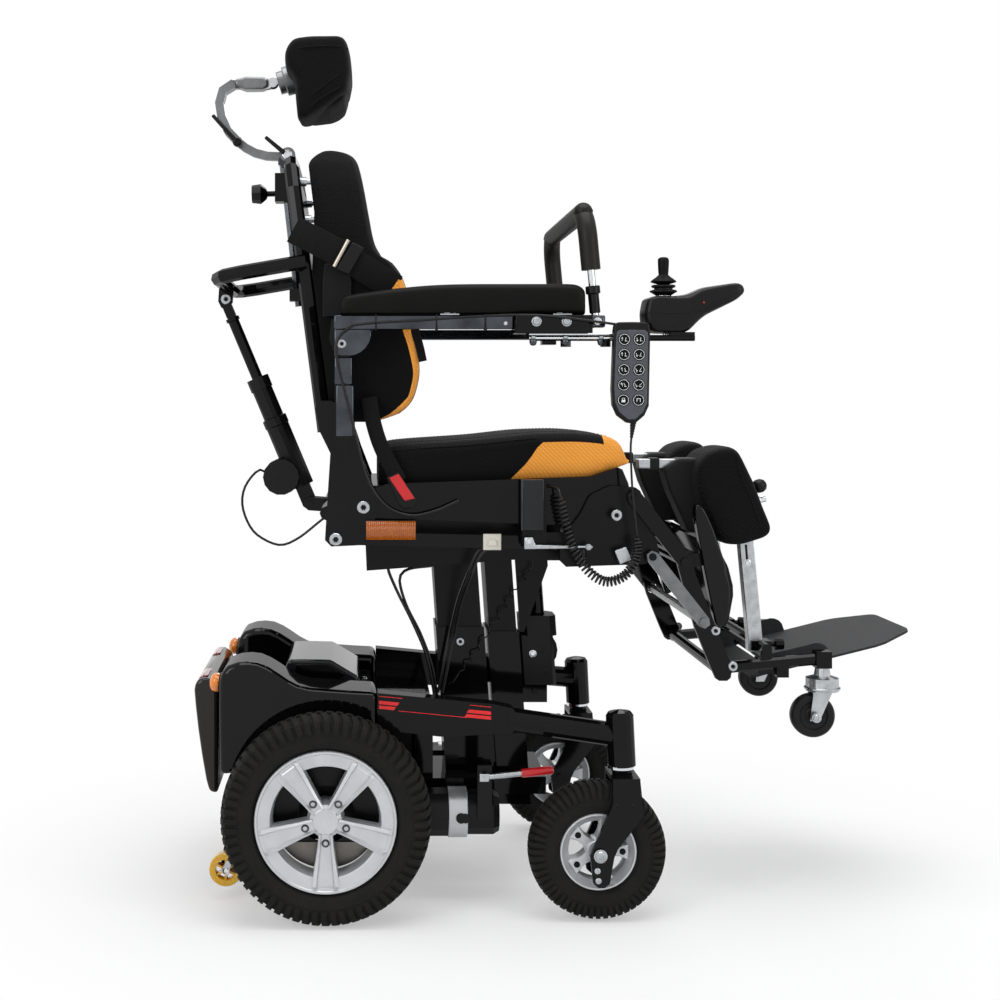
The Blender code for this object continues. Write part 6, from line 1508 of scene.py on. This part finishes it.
# The rounded rear shell between the fenders, with red reflectors along its top
def rearCover():
    outer = [
        (-0.2005, 0.18), (-0.206, 0.2), (-0.213, 0.24), (-0.2195, 0.285), (-0.224, 0.325),
        (-0.2262, 0.352), (-0.224, 0.365), (-0.214, 0.373), (-0.202, 0.372), (-0.19, 0.364),
        (-0.186, 0.35), (-0.186, 0.177),
    ]
    sidePlate(
        "rearShell", "base", rearGloss, outer, -0.168, 0.168, 0.01, 4, node="rear_cover",
        slot="gloss_shell",
    )
    lens = [(-0.22, 0.37), (-0.2125, 0.3745), (-0.2035, 0.3745), (-0.212, 0.369)]
    for side, way in sides:
        sidePlate(f"rearReflector_{side}", "base", redLens, lens, way * 0.08, way * 0.15, 0.0012, 2)


# A moulded cover with a glassy window let into each side of its grip
def batteryCover():
    outline = [
        (-0.079, deckHeight(-0.079) + 0.0004), (-0.0745, 0.38), (-0.0715, 0.3895), (-0.065, 0.393),
        (-0.04, 0.3935), (0.002, 0.3925), (0.008, 0.39), (0.048, 0.366), (0.0525, 0.36),
        (0.053, deckHeight(0.0525) + 0.0004),
    ]
    sidePlate(
        "batteryCover", "base", darkCover, outline, -0.105, 0.105, 0.005, 4,
        node="battery_cover", slot="grey_cover",
    )
    window = [(-0.06, 0.356), (-0.056, 0.385), (-0.002, 0.3845), (0.03, 0.367), (0.012, 0.356)]
    frameLine = [(-0.066, 0.351), (-0.061, 0.3885), (0.0, 0.388), (0.038, 0.3665), (0.016, 0.351)]
    for way in (-1, 1):
        sidePlate(
            f"coverFrame{way + 1}", "base", blackPlastic, frameLine, way * 0.1045, way * 0.106, 0.0006,
            2,
        )
        sidePlate(
            f"coverWindow{way + 1}", "base", glossShell, window, way * 0.105, way * 0.1066, 0.0004, 2,
        )
        bolt("base", "zinc", (0.062, way * 0.098, deckHeight(0.062)), (0.05, 0, 1), 0.005, 0.0035)


def armTop(x):
    return 0.3618 - (x - 0.0843) * 0.0975


stripeSizes = {"rows": 3, "pitch": 0.0078, "thick": 0.0056, "thin": 0.001, "slant": 0.0035}


# Red bars at both ends of the side arm, joined by thin lines
def stripes():
    slant = stripeSizes["slant"]
    shapes = []
    for row in range(stripeSizes["rows"]):
        cut = 0.004 * row + 0.0035
        tall = stripeSizes["thin"] if row == 0 else stripeSizes["thick"]
        rear, front = 0.13 - cut * 1.4, 0.2412 - cut
        bars = (
            [(0.086, 0), (rear, 0), (rear - slant, -tall), (0.086, -tall)],
            [(front, 0), (0.27, 0), (0.27, -tall), (front - slant, -tall)],
        )
        shapes += [[(x, z - 0.0042 - row * stripeSizes["pitch"]) for x, z in bar] for bar in bars]
    shapes.append(rectangle(0.118, -0.0262, 0.23, -0.0252))
    for side, way in sides:
        maker = bmesh.new()
        for shape in shapes:
            addPrism(maker, [(x, armTop(x) + z) for x, z in shape], way * 0.24505, way * 0.24545)
        addMade(f"armStripes_{side}", maker, redFilm, "base")


bodyShell()
rearCover()
batteryCover()
stripes()
print("body made")

# Armrests, posts and under-pad clamps


def sideReflector(side, way):
    outer = way * 0.227
    line = rectangle(0.0635, 0.611, 0.1475, 0.6446)
    sidePlate(
        f"reflectorFrame_{side}", "seat", blackPlastic, line, outer, outer + way * 0.003, 0.001, 2,
    )
    low, high = outer + way * 0.002, outer + way * 0.004
    slats = [(0.065 + i * 0.0034, 0.0683 + i * 0.0034, low, high, 0.6125, 0.6432) for i in range(24)]
    blockPiece(f"sideReflector_{side}", "seat", reflectorLens, slats)


def chromeArm(side, way):
    body = f"armrest_{side}"
    front = 0.306 if way < 0 else 0.408
    rail = (0.0123, front, way * 0.224, way * 0.256, 0.9592, 0.9822)
    blockPiece(f"armRail_{side}", body, armSteel, [rail], 0.0022, 3, slot="black_paint")
    quadrant = [
        (0.0128, 0.96), (0.0128, 0.916), (0.04, 0.916), (0.047, 0.9175), (0.056, 0.9215),
        (0.064, 0.9285), (0.07, 0.938), (0.0728, 0.949), (0.0728, 0.96),
    ]
    sidePlate(f"armQuadrant_{side}", body, armSteel, quadrant, way * 0.2316, way * 0.25, 0.0016)
    pivotBolt(body, (0.025, way * 0.25, 0.9356), (0, way, 0), 0.0075)
    sleeves = [
        (0.0125, 0.0415, way * 0.2185, way * 0.2312, 0.869, 0.9145),
        (0.015, 0.0441, way * 0.2195, way * 0.2322, 0.7828, 0.8676),
    ]
    blockPiece(f"armPost_{side}", "carrier", armSteel, sleeves, 0.0022, 3)
    for x in (0.186, 0.37):
        clips = [
            (x, x + 0.031, way * 0.248, way * 0.259, 0.9822, 0.985),
            (x + 0.006, x + 0.016, way * 0.25, way * 0.26, 0.985, 0.988),
            (x + 0.021, x + 0.026, way * 0.25, way * 0.2595, 0.985, 0.9868),
        ]
        blockPiece(f"padClip_{side}_{int(x * 1000)}", body, zinc, clips, 0.0006)
    bolt(body, "chrome", (0.293, way * 0.256, 0.969), (0, way, 0), 0.0026, 0.002)


# The clamp block under the pad with its rods and dark ball-headed screws
def joystickClamp():
    body = "armrest_right"
    block = [(0.308, 0.952), (0.424, 0.952), (0.426, 0.954), (0.426, 0.9815), (0.308, 0.9815)]
    sidePlate("clampBlock", body, blackPaint, block, -0.2735, -0.256, 0.0012)
    for x in (0.3415, 0.3905):
        bolt(body, "zinc", (x, -0.2735, 0.971), toNear, 0.0062, 0.005)
    for low in (0.944, 0.9505):
        rod = [(0.33, -0.27, low), (0.475, -0.27, low)]
        addTube(f"clampRod{int(low * 10000)}", rod, 0.0019, chrome, body, 4)
    screw = [
        (0, 0), (0, 0.0048), (0.0022, 0.006), (0.006, 0.0062), (0.0095, 0.005), (0.0112, 0.0028),
        (0.0115, 0),
    ]
    nut = [(0, 0), (0, 0.0056), (0.003, 0.0056), (0.003, 0)]
    for x in (0.3364, 0.3888, 0.4468):
        number = int(x * 1000)
        turnedPiece(
            f"clampScrew{number}", body, armSteel, screw, (x, -0.27, 0.9432), toGround, 24, angle=50,
        )
        turnedPiece(f"clampNut{number}", body, zinc, nut, (x, -0.27, 0.947), toGround, 6)


for side, way in sides:
    chromeArm(side, way)
    sideReflector(side, way)
joystickClamp()
print("arms made")

# Straps and buckles

strapSection = (
    (-1, -0.5), (-0.96, -1), (0.96, -1), (1, -0.5), (1, 0.5), (0.96, 1), (-0.96, 1), (-1, 0.5),
)


# A flat strap along a route, its flat side towards the chair's right
def addStrap(name, body, route, width, thickness):
    places = throughPoints(route, 0.008)
    rings = []
    for i, place in enumerate(places):
        along = (places[min(i + 1, len(places) - 1)] - places[max(i - 1, 0)]).normalized()
        across = along.cross(Vector(toNear)).normalized()
        out = across.cross(along).normalized()
        middle, wide, deep = at(*place), across * width / 2, out * thickness / 2
        rings.append([middle + wide * a + deep * b for a, b in strapSection])
    maker = bmesh.new()
    joinLoops(maker, rings)
    addMade(name, maker, webbing, body, angle=50)


def straps():
    chest = [
        (-0.0565, -0.204, 1.128), (-0.03, -0.2105, 1.114), (0.0, -0.212, 1.0985),
        (0.0232, -0.212, 1.0857), (0.05, -0.2095, 1.0695), (0.0797, -0.204, 1.051),
        (0.098, -0.201, 1.04), (0.111, -0.196, 1.0325), (0.116, -0.188, 1.03),
    ]
    addStrap("chestStrap", "back", chest, 0.046, 0.0022)
    tail = [
        (0.138, -0.188, 0.975), (0.146, -0.192, 0.96), (0.154, -0.193, 0.935), (0.16, -0.193, 0.908),
    ]
    addStrap("chestStrapEnd", "back", tail, 0.014, 0.002)
    lap = [
        (0.07, -0.204, 0.848), (0.076, -0.209, 0.81), (0.088, -0.211, 0.77), (0.105, -0.211, 0.735),
        (0.12, -0.211, 0.708),
    ]
    addStrap("lapStrap", "seat", lap, 0.026, 0.0022)
    red = [(0.1029, 0.7138), (0.119, 0.7208), (0.1458, 0.6795), (0.1286, 0.6757)]
    shell = [
        (0.099, 0.715), (0.118, 0.724), (0.15, 0.677), (0.146, 0.664), (0.126, 0.662), (0.118, 0.672),
    ]
    plate = [(0.0418, 1.1056), (0.0609, 1.0962), (0.037, 1.0517), (0.0149, 1.0613)]
    panel = [
        (-0.0071, 0.9837), (0.038, 0.9837), (0.04, 1.04), (0.033, 1.0706), (-0.004, 1.0706),
        (-0.0071, 1.04),
    ]
    for name, body, material, line, low, high, bevel in (
        ("lapBuckleButton", "seat", redGrip, red, -0.218, -0.2135, 0.0012),
        ("lapBuckle", "seat", blackPlastic, shell, -0.2145, -0.2105, 0.0015),
        ("chestBuckle", "back", blackPlastic, plate, -0.2175, -0.2125, 0.0015),
        ("backSidePanel", "back", topCloth, panel, -0.2065, -0.199, 0.002),
    ):
        sidePlate(name, body, material, line, low, high, bevel)
    bar = [(0.0355, -0.2185, 1.109), (0.0116, -0.2185, 1.0645)]
    addTube("chestBuckleBar", bar, 0.0036, champagne, "back", 4)


straps()
print("straps made")

# Loose cables

armCable = [
    (0.0434, -0.26, 0.9658), (0.0206, -0.26, 0.9479), (0.0157, -0.259, 0.925), (0.0206, -0.254, 0.8908),
    (0.0271, -0.247, 0.8663), (0.0401, -0.24, 0.8174), (0.0564, -0.236, 0.7505),
    (0.0727, -0.235, 0.7016), (0.1021, -0.233, 0.6657), (0.1396, -0.232, 0.6526),
    (0.1804, -0.231, 0.6608), (0.2179, -0.227, 0.6771),
]
railCable = [
    (0.0434, -0.26, 0.966), (0.0809, -0.2592, 0.97), (0.1527, -0.259, 0.974), (0.2342, -0.259, 0.9795),
    (0.3, -0.262, 0.9822), (0.36, -0.277, 0.98), (0.42, -0.279, 0.973), (0.4691, -0.277, 0.9665),
]
reclineCable = [
    (-0.105, 0.0, 0.701), (-0.125, -0.015, 0.718), (-0.15, -0.02, 0.69), (-0.156, -0.02, 0.656),
    (-0.144, -0.02, 0.62), (-0.124, -0.02, 0.598), (-0.0886, -0.02, 0.5838), (-0.056, -0.02, 0.596),
    (-0.02, -0.02, 0.624), (0.005, -0.02, 0.644),
]
liftCables = {
    "liftCableA": [
        (0.106, -0.115, 0.564), (0.1031, -0.109, 0.5498), (0.1204, -0.102, 0.5082),
        (0.1447, -0.102, 0.4596), (0.169, -0.102, 0.4023), (0.1812, -0.1, 0.3451),
        (0.185, -0.098, 0.315),
    ],
    "liftCableB": [
        (0.19, -0.05, 0.556), (0.1812, -0.062, 0.5515), (0.145, -0.08, 0.549), (0.1274, -0.09, 0.5411),
        (0.1239, -0.092, 0.5238), (0.136, -0.093, 0.4839), (0.1603, -0.094, 0.4353),
        (0.18, -0.094, 0.38), (0.19, -0.094, 0.32),
    ],
    "liftCableC": [
        (0.2719, -0.199, 0.601), (0.252, -0.196, 0.59), (0.2385, -0.19, 0.56), (0.222, -0.14, 0.5),
        (0.212, -0.1, 0.4423), (0.202, -0.096, 0.39), (0.19, -0.096, 0.335),
    ],
    "liftCableD": [
        (0.276, -0.199, 0.599), (0.257, -0.195, 0.585), (0.244, -0.188, 0.556), (0.228, -0.142, 0.498),
        (0.219, -0.104, 0.4423), (0.209, -0.1, 0.39), (0.197, -0.1, 0.335),
    ],
}
looseCables = [
    ("armCable", "carrier", armCable, 0.0024, "hanging"),
    ("railCable", "armrest_right", railCable, 0.0022, "taut"),
    ("reclineCable", "carrier", reclineCable, 0.0022, "loose"),
]
looseCables += [(name, "carriage", route, 0.0026, "loose") for name, route in liftCables.items()]
for name, body, points, radius, lay in looseCables:
    layCord(name, body, throughPoints(points, 0.01), radius, lay)


def cableTies():
    for x in (0.0809, 0.18, 0.26):
        blocks = [
            (x - 0.0012, x + 0.0012, -0.2622, -0.223, 0.9585, 0.9835),
            (x - 0.002, x + 0.002, -0.264, -0.259, 0.957, 0.962),
        ]
        blockPiece(f"cableTie{int(x * 1000)}", "armrest_right", blackPlastic, blocks)
    mount = (0.2602, 0.2903, -0.2065, -0.202, 0.593, 0.62)
    bridge = (0.268, 0.2825, -0.21, -0.206, 0.6, 0.61)
    blockPiece("cableMount", "link", paleNylon, [mount], 0.0012)
    blockPiece("cableMountBridge", "link", paleNylon, [bridge], 0.001)


cableTies()
print("cables made")

# Seat box, links and legs


# A zinc rod with a red sleeve over its front end
def brakeLever(side, way):
    body = f"brake_lever_{side}"
    y = way * 0.222
    route = [(0.26, y, 0.218), (0.32, y, 0.2245), (0.35, y, 0.2278)]
    addTube(f"brakeRod_{side}", route, 0.0048, zinc, body, 5, node=body, slot="zinc_steel")
    sleeve = [
        (0, 0), (0, 0.004), (0, 0.0062), (0.002, 0.0072), (0.05, 0.0072), (0.053, 0.0055),
        (0.054, 0.002), (0.054, 0),
    ]
    place = (0.322, y, 0.2247)
    turnedPiece(
        f"brakeGrip_{side}", body, redGrip, sleeve, place, (0.994, 0, 0.11), 28, slot="red_grip",
    )
    root = [(0.252, 0.212), (0.268, 0.212), (0.27, 0.225), (0.252, 0.225)]
    sidePlate(f"brakeRoot_{side}", body, zinc, root, way * 0.215, way * 0.229, 0.0012, 2)


# The bright band and the end plug of each motor
def motorTrim(side, way):
    band = [
        (0, 0.0395), (0, 0.0412), (0.0008, 0.0418), (0.0308, 0.0418), (0.0316, 0.0412),
        (0.0316, 0.0395),
    ]
    place = (0.2027, way * 0.172, 0.148)
    turnedPiece(f"motorBand_{side}", "base", alloy, band, place, (1, 0, 0), 64, ring=True)
    plug = [(0, 0), (0, 0.0085), (0.003, 0.0085), (0.0042, 0.007), (0.0042, 0)]
    place = (0.223, way * 0.2135, 0.148)
    turnedPiece(f"motorPlug_{side}", "base", blackPlastic, plug, place, (0, way, 0), 24)


# The fittings along the frame that both sides share
def sideFittings(side, way):
    outward = (0, way, 0)
    ring = [
        (0, 0.015), (0, 0.0205), (0.001, 0.0215), (0.0055, 0.0215), (0.0065, 0.0205), (0.0065, 0.015),
    ]
    place = (0.4809, way * 0.26, 0.242)
    turnedPiece(f"steerRing_{side}", "base", chrome, ring, place, toTop, 48, ring=True)
    bracket = [(-0.1799, 0.048), (-0.17, 0.0676), (-0.1611, 0.064), (-0.168, 0.0405)]
    sidePlate(f"antitipBracket_{side}", "base", zinc, bracket, way * 0.1765, way * 0.179, 0.0006, 2)
    bolt("base", "chrome", (-0.1705, way * 0.179, 0.05), outward, 0.0042, 0.003)
    for metal, x, z, radius, height in (
        ("black", 0.4667, 0.1915, 0.0036, 0.0022), ("black", 0.4933, 0.1915, 0.0036, 0.0022),
        ("zinc", 0.4362, 0.0873, 0.0038, 0.0014), ("zinc", 0.4378, 0.0713, 0.0038, 0.0014),
    ):
        bolt(f"caster_fork_{side}", metal, (x, way * 0.303, z), outward, radius, height)
    for body, x, y, z, radius in (
        ("seat", 0.4758, 0.2467, 0.6543, 0.009), ("carrier", 0.033, 0.2185, 0.743, 0.0105),
        ("carrier", 0.0605, 0.227, 0.6657, 0.0105), ("carrier", 0.0146, 0.227, 0.6127, 0.0105),
    ):
        pivotBolt(body, (x, way * y, z), outward, radius)


def seatBox():
    for body, metal, place, radius, height in (
        ("base", "chrome", (0.3619, -0.031, 0.3914), 0.005, 0.003),
        ("base", "black", (0.3788, -0.031, 0.3967), 0.004, 0.0012),
        ("base", "black", (0.3859, -0.031, 0.3603), 0.004, 0.0012),
        ("carriage", "chrome", (0.331, -0.253, 0.613), 0.0042, 0.004),
        ("carriage", "zinc", (0.429, -0.253, 0.6025), 0.004, 0.004),
    ):
        bolt(body, metal, place, toNear, radius, height)
    pivotBolt("base", (0.2313, -0.055, 0.417), toNear, 0.0072)
    pivotBolt("recline_rod", (-0.1857, -0.0115, 1.0234), toNear, 0.009)
    box, edge = rectangle(0.322, 0.6289, 0.3576, 0.7126), rectangle(0.32, 0.6289, 0.3222, 0.7126)
    bar = [
        (0.324, 0.599), (0.436, 0.601), (0.436, 0.604), (0.342, 0.606), (0.338, 0.618), (0.324, 0.618),
    ]
    tab = [(0.4724, 0.596), (0.4908, 0.6027), (0.4992, 0.5826), (0.4808, 0.5743)]
    for name, body, material, line, low, high, bevel, segments in (
        ("controlBox", "seat", darkCover, box, -0.244, -0.2265, 0.002, 3),
        ("controlBoxEdge", "seat", armSteel, edge, -0.2445, -0.2265, 0.0005, 2),
        ("lockBracket", "carriage", zinc, bar, -0.253, -0.2467, 0.001, 2),
        ("legTab", "carriage", alloy, tab, -0.253, -0.2467, 0.001, 2),
    ):
        sidePlate(name, body, material, line, low, high, bevel, segments)
    knob = [(0, 0), (0, 0.007), (0.006, 0.0085), (0.014, 0.008), (0.016, 0.005), (0.016, 0)]
    turnedPiece("lockKnob", "carriage", blackPlastic, knob, (0.418, -0.25, 0.599), toGround, 24)


for side, way in sides:
    brakeLever(side, way)
    motorTrim(side, way)
    sideFittings(side, way)
seatBox()
gatherBolts()
print("seat box made")

# Better materials for the CAD nodes that stay, by slot, with a few nodes that differ

slotMaterials = {
    "black_paint": blackPaint,
    "black_anodised": anodised,
    "gloss_shell": glossShell,
    "grey_cover": darkCover,
    "black_plastic": blackPlastic,
    "silver_alloy": alloy,
    "zinc_steel": zinc,
    "grey_arm": castGrey,
    "tyre_rubber": smoothRubber,
    "black_fabric": seatMesh,
    "black_foam": foam,
    "red_grip": redGrip,
    "yellow_polyurethane": yellowWheel,
    "grit_sheet": gritSheet,
    "cord_rubber": cableJacket,
}
nodeMaterials = {
    "headrest_stem": armSteel,
    "parallel_link": blackPaint,
    "recline_rod": blackPaint,
    "leg_bars": castGrey,
}
for subpart in frame["record"]["subparts"]:
    name = subpart["node"]
    for slot in bpy.data.objects[name].material_slots:
        slot.material = nodeMaterials.get(name, slotMaterials[subpart["material_slot"]])
